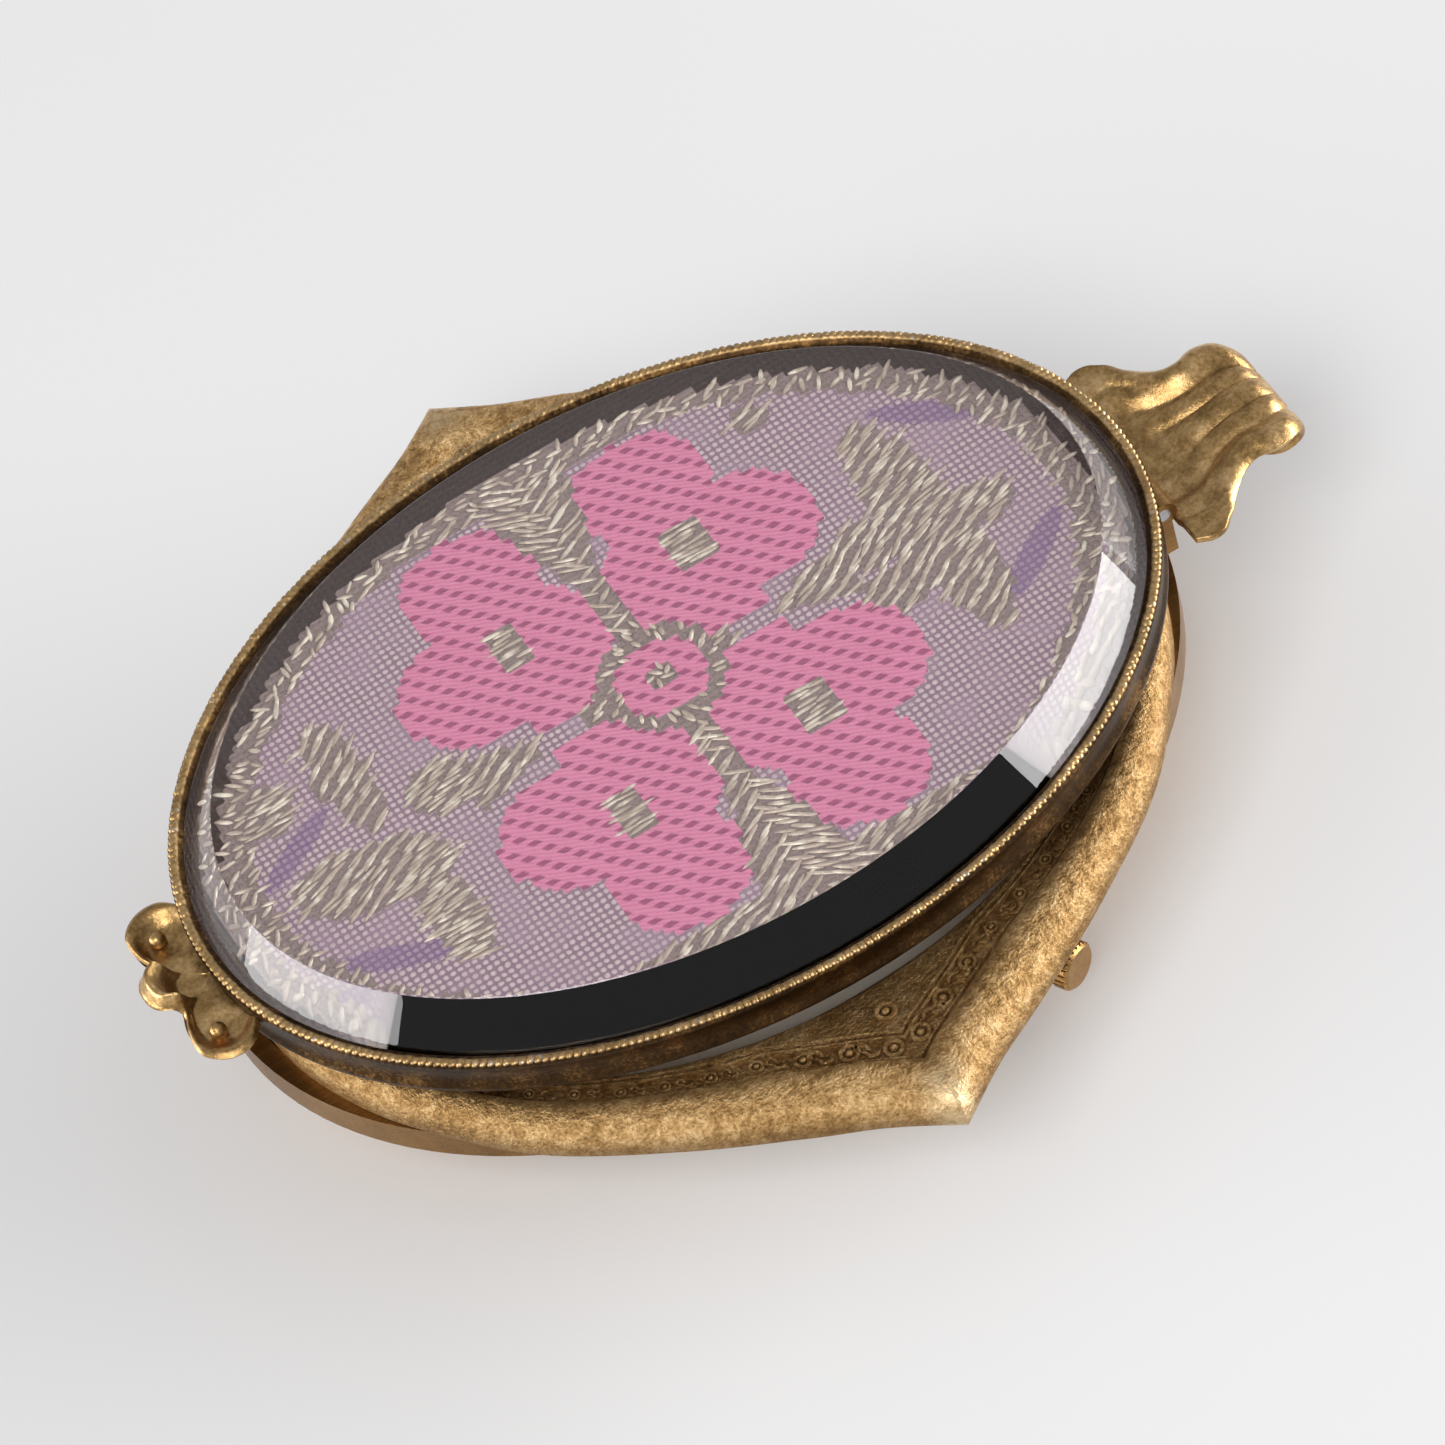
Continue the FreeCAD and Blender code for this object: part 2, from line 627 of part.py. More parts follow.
def build_winding():
    crown_start = band_reach()
    tube_start, tube_end = float(s.movement_radius) + 0.5, crown_start - float(s.crown_gap)
    bore = s.stem_radius + s.stem_gap
    cut("case_tube", stem_rod("tube_outer", s.tube_radius, tube_start, tube_end),
        stem_rod("tube_bore", bore, tube_start - 1, tube_end + 1))
    stem_rod("winding_stem", s.stem_radius, STEM_START, crown_start + CROWN_BORE_DEPTH)

    leaves = tooth_ring(WINDING_LEAVES, s.winding_module, 0)
    leaves = leaves.extrude(Vector(0, 0, PINION_END - PINION_START))
    leaves = leaves.cut(disc(float(bore), 2))
    feature = doc.addObject("Part::Feature", "winding_pinion")
    feature.Shape = leaves
    feature.Placement = stem_placement(PINION_START)

    radius, length = float(s.crown_radius), float(s.crown_length)
    knob = disc(radius, length)
    knob = knob.makeChamfer(CROWN_CHAMFER, [edge for edge in knob.Edges if edge.isClosed()])
    for number in range(CROWN_FLUTES):
        turn = 2 * math.pi * number / CROWN_FLUTES
        knob = knob.cut(disc(FLUTE_RADIUS, length, 0, radius * math.cos(turn), radius * math.sin(turn)))
    knob = knob.cut(disc(float(s.stem_radius), CROWN_BORE_DEPTH))
    feature = doc.addObject("Part::Feature", "crown")
    feature.Shape = knob
    feature.Placement = stem_placement(crown_start)


# ---------------------------------------------------------------- movement layout

CENTRE_TEETH, THIRD_LEAVES = 64, 8
THIRD_TEETH, FOURTH_LEAVES = 60, 8
FOURTH_TEETH, ESCAPE_LEAVES = 70, 7
BARREL_TEETH, CENTRE_LEAVES = 80, 10
CROWN_TEETH, RATCHET_TEETH = 21, 34
CANNON_LEAVES, MINUTE_TEETH = 10, 30
MINUTE_LEAVES, HOUR_TEETH = 8, 32
ESCAPE_TEETH = 15
THIRD_AT, FOURTH_AT, ESCAPE_AT, PALLET_AT, BALANCE_AT = 150.0, 200.0, -60.0, -80.0, -80.0
BARREL_AT, MINUTE_AT = -25.8, 100.0

centre = (0.0, 0.0)
third = polar(centre, s.train_module * ((CENTRE_TEETH + THIRD_LEAVES) / 2), THIRD_AT)
fourth = polar(third, s.train_module * ((THIRD_TEETH + FOURTH_LEAVES) / 2), FOURTH_AT)
escape = polar(fourth, s.escape_module * ((FOURTH_TEETH + ESCAPE_LEAVES) / 2), ESCAPE_AT)
pallet = polar(escape, s.escape_radius * 1.173, PALLET_AT)
balance = polar(pallet, s.balance_radius, BALANCE_AT)
barrel = polar(centre, s.barrel_module * ((BARREL_TEETH + CENTRE_LEAVES) / 2), BARREL_AT)
minute = polar(centre, s.motion_module * ((CANNON_LEAVES + MINUTE_TEETH) / 2), MINUTE_AT)


def crown_wheel_place():
    """On the stem's line, at the right distance for its teeth to reach the ratchet's."""
    spacing = float(s.winding_module) * (CROWN_TEETH + RATCHET_TEETH) / 2
    along = float(barrel[0]) * stem_axis.x + float(barrel[1]) * stem_axis.y
    aside = math.hypot(float(barrel[0]), float(barrel[1])) ** 2 - along ** 2
    distance = along + math.sqrt(spacing ** 2 - aside)
    return (stem_axis.x * distance, stem_axis.y * distance)


crown_wheel = crown_wheel_place()

# heights of the train, from the bridges up to the main plate
FOURTH_LEVEL, THIRD_LEVEL, BARREL_LEVEL, ESCAPE_LEVEL, CENTRE_LEVEL = 1.95, 2.25, 2.55, 2.95, 3.2
RATCHET_LEVEL = 1.9
COCK_BOTTOM, COCK_TOP = 2.45, 2.7             # pallet cock
BALANCE_COCK_TOP = 1.5
SPRING_LEVEL, BALANCE_LEVEL = 1.6, 2.0
ARBOR_RADIUS = 0.15
SHAKE = 0.02                                   # end shake of the arbors

JEWELLED = {"third": third, "fourth": fourth, "escape": escape, "pallet": pallet, "balance": balance}
PILLARS = {"barrel": ((11.2, 35.0), (9.2, 75.0), (9.4, -80.0)),
           "train": ((9.3, 112.0), (11.2, 150.0), (11.2, 185.0)),
           "balance": ((11.2, 207.0),)}


def capsule(name, start, end, radius, bottom, top):
    """A bar with round ends."""
    a, b = (Vector(float(p[0]), float(p[1]), 0) for p in (start, end))
    along = (b - a).normalize()
    side = Vector(-along.y, along.x, 0) * radius
    edges = [Part.LineSegment(a + side, b + side).toShape(),
             Part.Arc(b + side, b + along * radius, b - side).toShape(),
             Part.LineSegment(b - side, a - side).toShape(),
             Part.Arc(a - side, a - along * radius, a + side).toShape()]
    shape = Part.Face(Part.Wire(edges)).extrude(Vector(0, 0, float(top) - float(bottom)))
    return made(name, shape, z=bottom)


def pillars(kind):
    return [rod(f"{kind}_pillar", s.pillar_radius, s.bridge_bottom, s.plate_bottom, *polar(centre, reach, turn))
            for reach, turn in PILLARS[kind]]


def screw_holes(kind, radius):
    return [rod(f"{kind}_screw_hole", radius, s.bridge_bottom - 1, s.plate_top - 0.2,
                *polar(centre, reach, turn)) for reach, turn in PILLARS[kind]]


def pivot_holes(names, bottom, top, radius):
    return [rod(f"{name}_seat", radius, bottom, top, *JEWELLED[name]) for name in names]


SCREW_RADIUS, SCREW_HEAD, SCREW_HEAD_HEIGHT = 0.28, 0.5, 0.2
BARREL_PIVOT, BARREL_CORE = 0.5, 0.9
STUD_RADIUS, CLICK_STUD = 0.4, 0.23
click_pivot = polar(barrel, s.winding_module * (RATCHET_TEETH / 2) + 0.85, 62.0)
CENTRE_ARBOR = 0.4
SPLIT, SPLIT_GAP = 1.0, 0.2                    # where the barrel bridge meets the train bridge
COCK_EDGE = -3.6                               # where the train bridge ends above the balance


def build_plates():
    far = s.movement_radius
    plate = rod("plate_blank", s.movement_radius, s.plate_bottom, s.plate_top)
    lug_reach = s.movement_radius - 0.3
    lug = stem_rod("stem_lug_round", 0.95, PINION_END + 0.1, lug_reach)
    above = block("stem_lug_space", (-far, -far, s.plate_bottom - 1.4), (far, far, s.plate_top - 0.3))
    recess = stem_rod("pinion_recess", 1.05, PINION_START - 0.15, PINION_END + 0.1)
    bore = stem_rod("stem_bore", s.stem_radius + s.stem_gap, STEM_START - 0.2, s.movement_radius + 1)
    holes = pivot_holes(JEWELLED, s.plate_bottom - 1, s.plate_bottom + 0.4, s.jewel_radius)
    holes += [rod(f"{name}_sink", 0.2, s.plate_bottom, s.plate_top + 1, *at) for name, at in JEWELLED.items()]
    holes += [hole for kind in PILLARS for hole in screw_holes(kind, SCREW_RADIUS)]
    holes += [rod("centre_hole", CENTRE_ARBOR + 0.03, s.plate_bottom - 1, s.plate_top + 1),
              rod("barrel_hole", BARREL_PIVOT + 0.03, s.plate_bottom - 1, s.plate_top + 1, *barrel),
              rod("minute_hole", 0.25, s.plate_bottom - 1, s.plate_top + 1, *minute)]
    body = fuse("plate_solid", plate, common("stem_lug", lug, above))
    cut("main_plate", body, recess, bore, *holes)

    low, high = s.bridge_bottom, s.bridge_top
    barrel_slab = common("barrel_slab", rod("barrel_disc", far, low, high),
                         inside_back("barrel_room", low, high, s.case_gap),
                         block("barrel_half", (SPLIT + SPLIT_GAP / 2, -far, low), (far, far, high)))
    cut("barrel_bridge", fuse("barrel_bridge_solid", barrel_slab, *pillars("barrel")),
        *screw_holes("barrel", SCREW_RADIUS),
        rod("barrel_bush", BARREL_PIVOT + 0.03, low - 1, high + 1, *barrel),
        rod("crown_stud_hole", STUD_RADIUS, low - 1, high + 1, *crown_wheel),
        rod("click_stud_hole", CLICK_STUD, low - 1, high + 1, *click_pivot))
    train_slab = common("train_slab", rod("train_disc", far, low, high),
                        inside_back("train_room", low, high, s.case_gap),
                        block("train_part", (-far, COCK_EDGE, low), (SPLIT - SPLIT_GAP / 2, far, high)))
    train_names = ("third", "fourth", "escape")
    cut("train_bridge", fuse("train_bridge_solid", train_slab, *pillars("train")),
        *screw_holes("train", SCREW_RADIUS), *pivot_holes(train_names, low - 1, high + 1, s.jewel_radius),
        rod("centre_bush", 0.25 + 0.02, low - 1, high + 1))

    foot = polar(centre, *PILLARS["balance"][0])
    arm = capsule("balance_arm", balance, foot, 1.3, low, BALANCE_COCK_TOP)
    cut("balance_cock", fuse("balance_cock_solid", arm, *pillars("balance")),
        *screw_holes("balance", SCREW_RADIUS), *pivot_holes(("balance",), low - 1, high, s.jewel_radius))

    ends = [polar(pallet, 2.9, turn) for turn in (10.0, 190.0)]
    bar = capsule("pallet_bar", ends[0], ends[1], 0.65, COCK_BOTTOM, COCK_TOP)
    feet = [rod("pallet_foot", 0.5, COCK_TOP, s.plate_bottom, *end) for end in ends]
    cut("pallet_cock", fuse("pallet_cock_solid", bar, *feet),
        *pivot_holes(("pallet",), COCK_BOTTOM - 1, COCK_TOP + 1, s.jewel_radius))


def build_screws_and_jewels():
    profile = [(0, s.bridge_bottom - SCREW_HEAD_HEIGHT), (SCREW_HEAD, s.bridge_bottom - SCREW_HEAD_HEIGHT),
               (SCREW_HEAD, s.bridge_bottom), (SCREW_RADIUS, s.bridge_bottom),
               (SCREW_RADIUS, s.plate_top - 0.3), (0, s.plate_top - 0.3)]
    screws = [turned("bridge_screw", profile, *polar(centre, reach, turn))
              for kind in PILLARS for reach, turn in PILLARS[kind]]
    group("bridge_screws", screws)

    hole = s.pivot_radius + s.pivot_gap
    lower = {"third": (s.bridge_top - 0.4, s.bridge_top), "fourth": (s.bridge_top - 0.4, s.bridge_top),
             "escape": (s.bridge_top - 0.4, s.bridge_top), "pallet": (COCK_BOTTOM, COCK_TOP),
             "balance": (s.bridge_bottom, BALANCE_COCK_TOP)}
    stones = []
    for name, at in JEWELLED.items():
        for bottom, top in (lower[name], (s.plate_bottom, s.plate_bottom + 0.4)):
            stones.append(turned(f"{name}_jewel", ring_profile(hole, s.jewel_radius, bottom, top), *at))
    group("jewels", stones)


def build_movement_ring():
    ring = inside_back("ring_blank", s.plate_bottom, s.dial_bottom, s.seat_gap)
    hole = rod("ring_hole", s.movement_radius + s.seat_gap, s.plate_bottom - 1, s.dial_bottom + 1)
    spots = [polar(centre, s.movement_radius + 0.7, turn) for turn in (10.0, 170.0)]
    seats = [rod("case_screw_hole", 0.35, s.plate_bottom - 1, s.dial_bottom - 0.3, *spot) for spot in spots]
    slot = stem_rod("ring_tube_slot", s.tube_radius + s.seat_gap, s.movement_radius - 1, band_reach())
    cut("movement_ring", ring, hole, slot, *seats)
    profile = [(0, s.plate_bottom - 0.25), (0.95, s.plate_bottom - 0.25), (0.95, s.plate_bottom),
               (0.35, s.plate_bottom), (0.35, s.dial_bottom - 0.4), (0, s.dial_bottom - 0.4)]
    group("case_screws", [turned("case_screw", profile, *spot) for spot in spots])


# ---------------------------------------------------------------- going train


def arbor_steps(bottom, top, radius=ARBOR_RADIUS, reach=0.28):
    """Arbor between two bearings, with a pivot at each end."""
    low, high = float(bottom) + SHAKE, float(top) - SHAKE
    pivot = float(s.pivot_radius)
    return [(radius, low, high), (pivot, low - reach, low), (pivot, high, high + reach)]


def build_train():
    m, fine, coarse = s.train_module, s.escape_module, s.barrel_module
    height = float(s.wheel_height)
    bridge, plate = s.bridge_top, s.plate_bottom
    rad = math.radians

    phase = 0.0
    barrel_phase = mesh_phase(rad(BARREL_AT), phase, CENTRE_LEAVES, BARREL_TEETH)
    third_phase = mesh_phase(rad(THIRD_AT), phase, CENTRE_TEETH, THIRD_LEAVES)
    fourth_phase = mesh_phase(rad(FOURTH_AT), phase, THIRD_TEETH, FOURTH_LEAVES)
    escape_phase = mesh_phase(rad(ESCAPE_AT), phase, FOURTH_TEETH, ESCAPE_LEAVES)

    pinion("centre_pinion", CENTRE_LEAVES, coarse, (BARREL_LEVEL - 0.05, BARREL_LEVEL + 0.33),
           [(CENTRE_ARBOR - 0.1, float(bridge) + SHAKE, CENTRE_LEVEL + height + 0.05),
            (0.25, float(bridge) - 0.5, float(bridge) + SHAKE),
            (CENTRE_ARBOR, CENTRE_LEVEL + height, 5.9)], phase)
    wheel("centre_wheel", CENTRE_TEETH, m, CENTRE_LEVEL, CENTRE_ARBOR - 0.1, phase)
    train = (("third", third, THIRD_TEETH, THIRD_LEAVES, m, m, THIRD_LEVEL, CENTRE_LEVEL, third_phase),
             ("fourth", fourth, FOURTH_TEETH, FOURTH_LEAVES, fine, m, FOURTH_LEVEL, THIRD_LEVEL, fourth_phase))
    for name, at, teeth, leaves, wheel_m, leaf_m, level, leaf_level, turn in train:
        pinion(f"{name}_pinion", leaves, leaf_m, (leaf_level - 0.04, leaf_level + height + 0.04),
               arbor_steps(bridge, plate), turn, at)
        wheel(f"{name}_wheel", teeth, wheel_m, level, ARBOR_RADIUS, phase, at)
    pinion("escape_pinion", ESCAPE_LEAVES, fine, (FOURTH_LEVEL - 0.04, FOURTH_LEVEL + height + 0.04),
           arbor_steps(bridge, plate), escape_phase, escape)
    build_barrel(barrel_phase)


def build_barrel(phase):
    module = s.barrel_module
    bottom, top = 2.35, 3.05
    wall, skin = 4.7, 4.95
    cup = disc(skin, top - bottom, bottom).cut(disc(wall, top - bottom, bottom + 0.15))
    teeth = tooth_ring(BARREL_TEETH, module, phase).extrude(Vector(0, 0, 0.25))
    teeth.translate(Vector(0, 0, BARREL_LEVEL))
    teeth = teeth.cut(disc(wall, 1, BARREL_LEVEL - 0.3))
    shell = cup.fuse(teeth).cut(disc(BARREL_PIVOT + 0.03, 1, bottom - 0.5))
    made("barrel_drum", shell.removeSplitter(), *barrel)
    turned("barrel_lid", ring_profile(BARREL_PIVOT + 0.03, wall, top - 0.15, top), *barrel)
    arbor = [(0, s.bridge_bottom + 0.1), (BARREL_PIVOT, s.bridge_bottom + 0.1), (BARREL_PIVOT, 2.52),
             (BARREL_CORE, 2.52), (BARREL_CORE, top - 0.17), (BARREL_PIVOT, top - 0.17),
             (BARREL_PIVOT, s.plate_top - 0.1), (0, s.plate_top - 0.1)]
    turned("barrel_arbor", arbor, *barrel)
    made("mainspring", ribbon(BARREL_CORE, wall - 0.02, 8, 0.12, 0.3), barrel[0], barrel[1], 2.53)

    ratchet_phase = 0.0
    wheel("ratchet_wheel", RATCHET_TEETH, s.winding_module, RATCHET_LEVEL, BARREL_PIVOT, ratchet_phase,
          barrel, arms=0, height=0.25)
    towards = math.atan2(crown_wheel[1] - float(barrel[1]), crown_wheel[0] - float(barrel[0]))
    wheel("crown_wheel", CROWN_TEETH, s.winding_module, RATCHET_LEVEL, 0.43,
          mesh_phase(towards, ratchet_phase, RATCHET_TEETH, CROWN_TEETH), crown_wheel, arms=0, height=0.25)
    stud = [(0, 1.3), (STUD_RADIUS, 1.3), (STUD_RADIUS, 2.17), (0.75, 2.17), (0.75, 2.31), (0, 2.31)]
    turned("crown_wheel_screw", stud, *crown_wheel)


def ribbon(inner, outer, turns, thickness, height):
    """A flat spring coiled from its inner end to its outer end."""
    grow = (outer - inner - thickness) / (2 * math.pi * turns)
    count = int(turns * 10)

    def side(offset):
        points = []
        for index in range(count + 1):
            turn = 2 * math.pi * turns * index / count
            radius = inner + offset + grow * turn
            points.append(Vector(radius * math.cos(turn), radius * math.sin(turn), 0))
        curve = Part.BSplineCurve()
        curve.interpolate(points)
        return curve

    near, far = side(0.0), side(thickness)
    ends = [Part.LineSegment(near.EndPoint, far.EndPoint).toShape(),
            Part.LineSegment(far.StartPoint, near.StartPoint).toShape()]
    wire = Part.Wire([near.toShape(), ends[0], far.toShape(), ends[1]])
    return Part.Face(wire).extrude(Vector(0, 0, height))


# ---------------------------------------------------------------- escapement and balance


def build_escapement():
    radius, height = float(s.escape_radius), float(s.wheel_height)
    step = 2 * math.pi / ESCAPE_TEETH
    points = []
    for tooth in range(ESCAPE_TEETH):
        turn = tooth * step
        for reach, ahead in ((0.80, -0.46), (1.0, 0.0), (1.0, 0.05), (0.80, 0.12)):
            angle = turn + ahead * step
            points.append(Vector(radius * reach * math.cos(angle), radius * reach * math.sin(angle), 0))
    blank = Part.Face(Part.makePolygon(points + points[:1])).extrude(Vector(0, 0, height))
    blank = crossed_out(blank, 0.55, radius * 0.68, 4, height).cut(disc(ARBOR_RADIUS, height))
    made("escape_wheel", blank, escape[0], escape[1], ESCAPE_LEVEL)

    build_fork(radius, height)
    build_balance()


def build_fork(radius, height):
    """The lever: two arms that carry the stones, and a fork that reaches the balance's roller."""
    spacing = math.hypot(float(pallet[0]) - float(escape[0]), float(pallet[1]) - float(escape[1]))
    back = math.radians(PALLET_AT)
    along = Vector(math.cos(back), math.sin(back), 0)
    across = Vector(-along.y, along.x, 0)
    pivot = Vector(float(pallet[0]), float(pallet[1]), 0)
    hub = Vector(float(escape[0]), float(escape[1]), 0)
    stones, arms = [], []
    for side in (-1, 1):
        turn = back + side * math.radians(34)
        tip = hub + Vector(math.cos(turn), math.sin(turn), 0) * (radius + 0.06)
        out = (tip - hub).normalize()
        stone = Part.makeBox(0.34, 0.16, height * 0.9, Vector(0, -0.08, 0))
        seat = tip + Vector(0, 0, ESCAPE_LEVEL + height * 0.05)
        stone.Placement = Placement(seat, Rotation(Vector(1, 0, 0), out))
        stones.append(stone)
        heel = tip + out * 0.34
        arms.append(bar_between(pivot, heel, 0.15, height))
    fork_end = pivot + along * (float(s.balance_radius) - 0.75)
    arms.append(bar_between(pivot, fork_end, 0.13, height))
    horn = bar_between(fork_end - across * 0.3, fork_end + across * 0.3, 0.12, height)
    body = disc(0.4, height, 0, pivot.x, pivot.y)
    for arm in arms + [horn]:
        body = body.fuse(arm)
    notch = Part.makeBox(0.5, 0.22, height, Vector(0, -0.11, 0))
    notch.Placement = Placement(fork_end - along * 0.12, Rotation(Vector(1, 0, 0), along))
    body = body.cut(notch)
    body.translate(Vector(0, 0, ESCAPE_LEVEL))
    for stone in stones:
        body = body.cut(stone)
    low, high = COCK_TOP + SHAKE, float(s.plate_bottom) - SHAKE
    for rod_radius, bottom, top in ((ARBOR_RADIUS, low, high), (float(s.pivot_radius), low - 0.2, low),
                                    (float(s.pivot_radius), high, high + 0.28)):
        body = body.fuse(disc(rod_radius, top - bottom, bottom, pivot.x, pivot.y))
    made("pallet_fork", body.removeSplitter())
    made("pallet_stones", Part.makeCompound(stones))


def bar_between(start, end, half_width, height):
    along = (end - start).normalize()
    side = Vector(-along.y, along.x, 0) * half_width
    points = [start - side, end - side, end + side, start + side]
    return Part.Face(Part.makePolygon(points + points[:1])).extrude(Vector(0, 0, height))


def build_balance():
    radius = float(s.balance_radius)
    rim = disc(radius, 0.2).cut(disc(radius - 0.35, 0.2))
    arm = Part.makeBox(2 * radius - 0.4, 0.36, 0.12, Vector(0.2 - radius, -0.18, 0))
    shape = rim.fuse(arm).fuse(disc(0.45, 0.2)).cut(disc(ARBOR_RADIUS + 0.05, 0.2))
    made("balance_wheel", shape.removeSplitter(), balance[0], balance[1], BALANCE_LEVEL)

    staff = ARBOR_RADIUS + 0.05
    low, high = BALANCE_COCK_TOP + SHAKE, float(s.plate_bottom) - SHAKE
    pivot = float(s.pivot_radius)
    profile = [(0, low - 0.28), (pivot, low - 0.28), (pivot, low), (staff, low), (staff, 2.75), (0.6, 2.75),
               (0.6, 2.85), (staff, 2.85), (staff, high), (pivot, high), (pivot, high + 0.28), (0, high + 0.28)]
    turned("balance_staff", profile, *balance)
    made("hairspring", ribbon(staff, 1.9, 6, 0.05, 0.18), balance[0], balance[1], SPRING_LEVEL)
    lever = capsule("regulator_bar", balance, polar(balance, 2.6, 120.0), 0.3, 0.85, s.bridge_bottom)
    plate = rod("regulator_disc", 0.9, 0.85, s.bridge_bottom, *balance)
    cut("regulator", fuse("regulator_solid", lever, plate), rod("regulator_eye", 0.45, 0, 3, *balance))


# ---------------------------------------------------------------- click


def build_click():
    """A pawl beside the ratchet wheel, and the wire spring behind it."""
    level = RATCHET_LEVEL
    eye = Vector(float(click_pivot[0]), float(click_pivot[1]), 0)
    hub = Vector(float(barrel[0]), float(barrel[1]), 0)
    tip_reach = float(s.winding_module) * (RATCHET_TEETH / 2 + ADDENDUM) + 0.04
    turn = math.radians(40.0)
    tip = hub + Vector(math.cos(turn), math.sin(turn), 0) * (tip_reach + 0.1)
    pawl = disc(0.5, 0.25, 0, eye.x, eye.y).fuse(bar_between(eye, tip, 0.1, 0.25))
    pawl = pawl.cut(disc(0.25, 1, 0, eye.x, eye.y))
    made("click", pawl.removeSplitter(), z=level)
    turned("click_screw", [(0, 1.3), (CLICK_STUD, 1.3), (CLICK_STUD, level + 0.27), (0.4, level + 0.27),
                           (0.4, level + 0.4), (0, level + 0.4)], *click_pivot)
    away = (eye - hub).normalize()
    start = eye + away * 0.62
    spring = bar_between(start, start + Vector(-away.y, away.x, 0) * 2.4, 0.05, 0.25)
    stud = disc(0.3, float(level) + 0.25 - 1.8, 1.8 - float(level), (start + Vector(-away.y, away.x, 0) * 2.4).x,
                (start + Vector(-away.y, away.x, 0) * 2.4).y)
    made("click_spring", spring.fuse(stud).removeSplitter(), z=level)


# ---------------------------------------------------------------- dial side


def build_dial_side():
    outer = oval("dial_blank", s.dial_inset, s.dial_bottom, s.dial_bottom + s.dial_height)
    cut("dial", outer, rod("dial_hole", 0.95, s.dial_bottom - 1, s.dial_bottom + 2))
    top = s.dial_bottom + s.dial_height
    cut("crystal_ring", oval("ring_outside", s.ring_inset, top, s.crystal_bottom),
        oval("ring_inside", s.ring_inset + s.ring_width, top - 1, s.crystal_bottom + 1))
    oval("crystal", s.case_wall + s.seat_gap, s.crystal_bottom, s.band_top)

    m = s.motion_module
    cannon = tooth_ring(CANNON_LEAVES, m, 0.0).extrude(Vector(0, 0, 0.2)).fuse(disc(0.55, 6.05 - 4.45, 0.0))
    made("cannon_pinion", cannon.cut(disc(CENTRE_ARBOR, 3, -1)).removeSplitter(), z=4.45)
    minute_phase = mesh_phase(math.radians(MINUTE_AT), 0.0, CANNON_LEAVES, MINUTE_TEETH)
    low = tooth_ring(MINUTE_TEETH, m, minute_phase).extrude(Vector(0, 0, 0.12))
    high = tooth_ring(MINUTE_LEAVES, m, 0.0).extrude(Vector(0, 0, 0.4))
    post = disc(0.22, 1.0, -0.8)
    made("minute_wheel", low.fuse(high).fuse(post).removeSplitter(), minute[0], minute[1], 4.47)
    hour_phase = mesh_phase(math.radians(MINUTE_AT + 180), 0.0, MINUTE_LEAVES, HOUR_TEETH)
    hour = tooth_ring(HOUR_TEETH, m, hour_phase).extrude(Vector(0, 0, 0.15)).fuse(disc(0.85, 5.75 - 4.7))
    made("hour_wheel", hour.cut(disc(0.6, 3, -1)).removeSplitter(), z=4.7)
    build_hand("hour_hand", s.hour_hand_length, 0.85, 5.6, 56.0, 0.42)
    build_hand("minute_hand", s.minute_hand_length, 0.55, 5.9, -48.0, 0.3)


def build_hand(name, length, bore, bottom, degrees, half_width):
    """A spade hand: a boss, a slim shaft and a leaf-shaped head."""
    length = float(length)
    outline = [(0, 0.18), (length * 0.55, half_width * 0.45), (length * 0.72, half_width * 1.9),
               (length * 0.86, half_width * 0.7), (length, 0.03)]
    points = [Vector(px, py, 0) for px, py in outline] + [Vector(px, -py, 0) for px, py in outline[::-1]]
    shape = Part.Face(Part.makePolygon(points + points[:1])).extrude(Vector(0, 0, 0.12))
    shape = shape.fuse(disc(bore + 0.35, 0.12)).cut(disc(bore, 1, -0.5)).removeSplitter()
    shape.rotate(Vector(0, 0, 0), Vector(0, 0, 1), degrees)
    made(name, shape, z=bottom)


# ---------------------------------------------------------------- build and write

NODES = """
cover_bezel cover_glass brocade_panel brocade_card cover_plate thumb_piece cover_knuckle
case_back case_band ogee_frame hinge_lugs hinge_pin leaf_bail cover_catch crystal crystal_ring dial
case_tube winding_pinion winding_stem crown crown_wheel crown_wheel_screw ratchet_wheel barrel_arbor
movement_ring main_plate barrel_bridge train_bridge balance_cock pallet_cock bridge_screws case_screws
jewels click click_screw click_spring regulator barrel_drum barrel_lid mainspring centre_wheel
centre_pinion third_wheel third_pinion fourth_wheel fourth_pinion escape_wheel escape_pinion
pallet_fork pallet_stones balance_wheel balance_staff hairspring cannon_pinion minute_wheel
hour_wheel hour_hand minute_hand
""".split()


def write_parts():
    os.makedirs("parts", exist_ok=True)
    for item in doc.Objects:
        if "Invalid" in item.State or "Error" in item.State:
            raise RuntimeError(f"{item.Name} failed: {item.State}")
    for name in NODES:
        item = doc.getObject(name)
        shape = item.Shape
        if shape.isNull() or not shape.isValid() or not shape.Solids:
            raise RuntimeError(f"{name} has no valid solid")
        item.Label = name
        shape.exportStep(os.path.join("parts", name + ".step"))
        print(f"{name:20s} {len(shape.Solids):3d} solid(s) {shape.Volume:10.3f} mm3")


build_case()
build_frame()
build_hinge()
build_cover()
build_leaf()
build_catch()
build_winding()
build_plates()
build_screws_and_jewels()
build_movement_ring()
build_train()
build_escapement()
build_click()
build_dial_side()
doc.recompute()
write_parts()
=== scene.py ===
import math
import random

import bmesh
import bpy
from mathutils import Matrix, Vector, noise


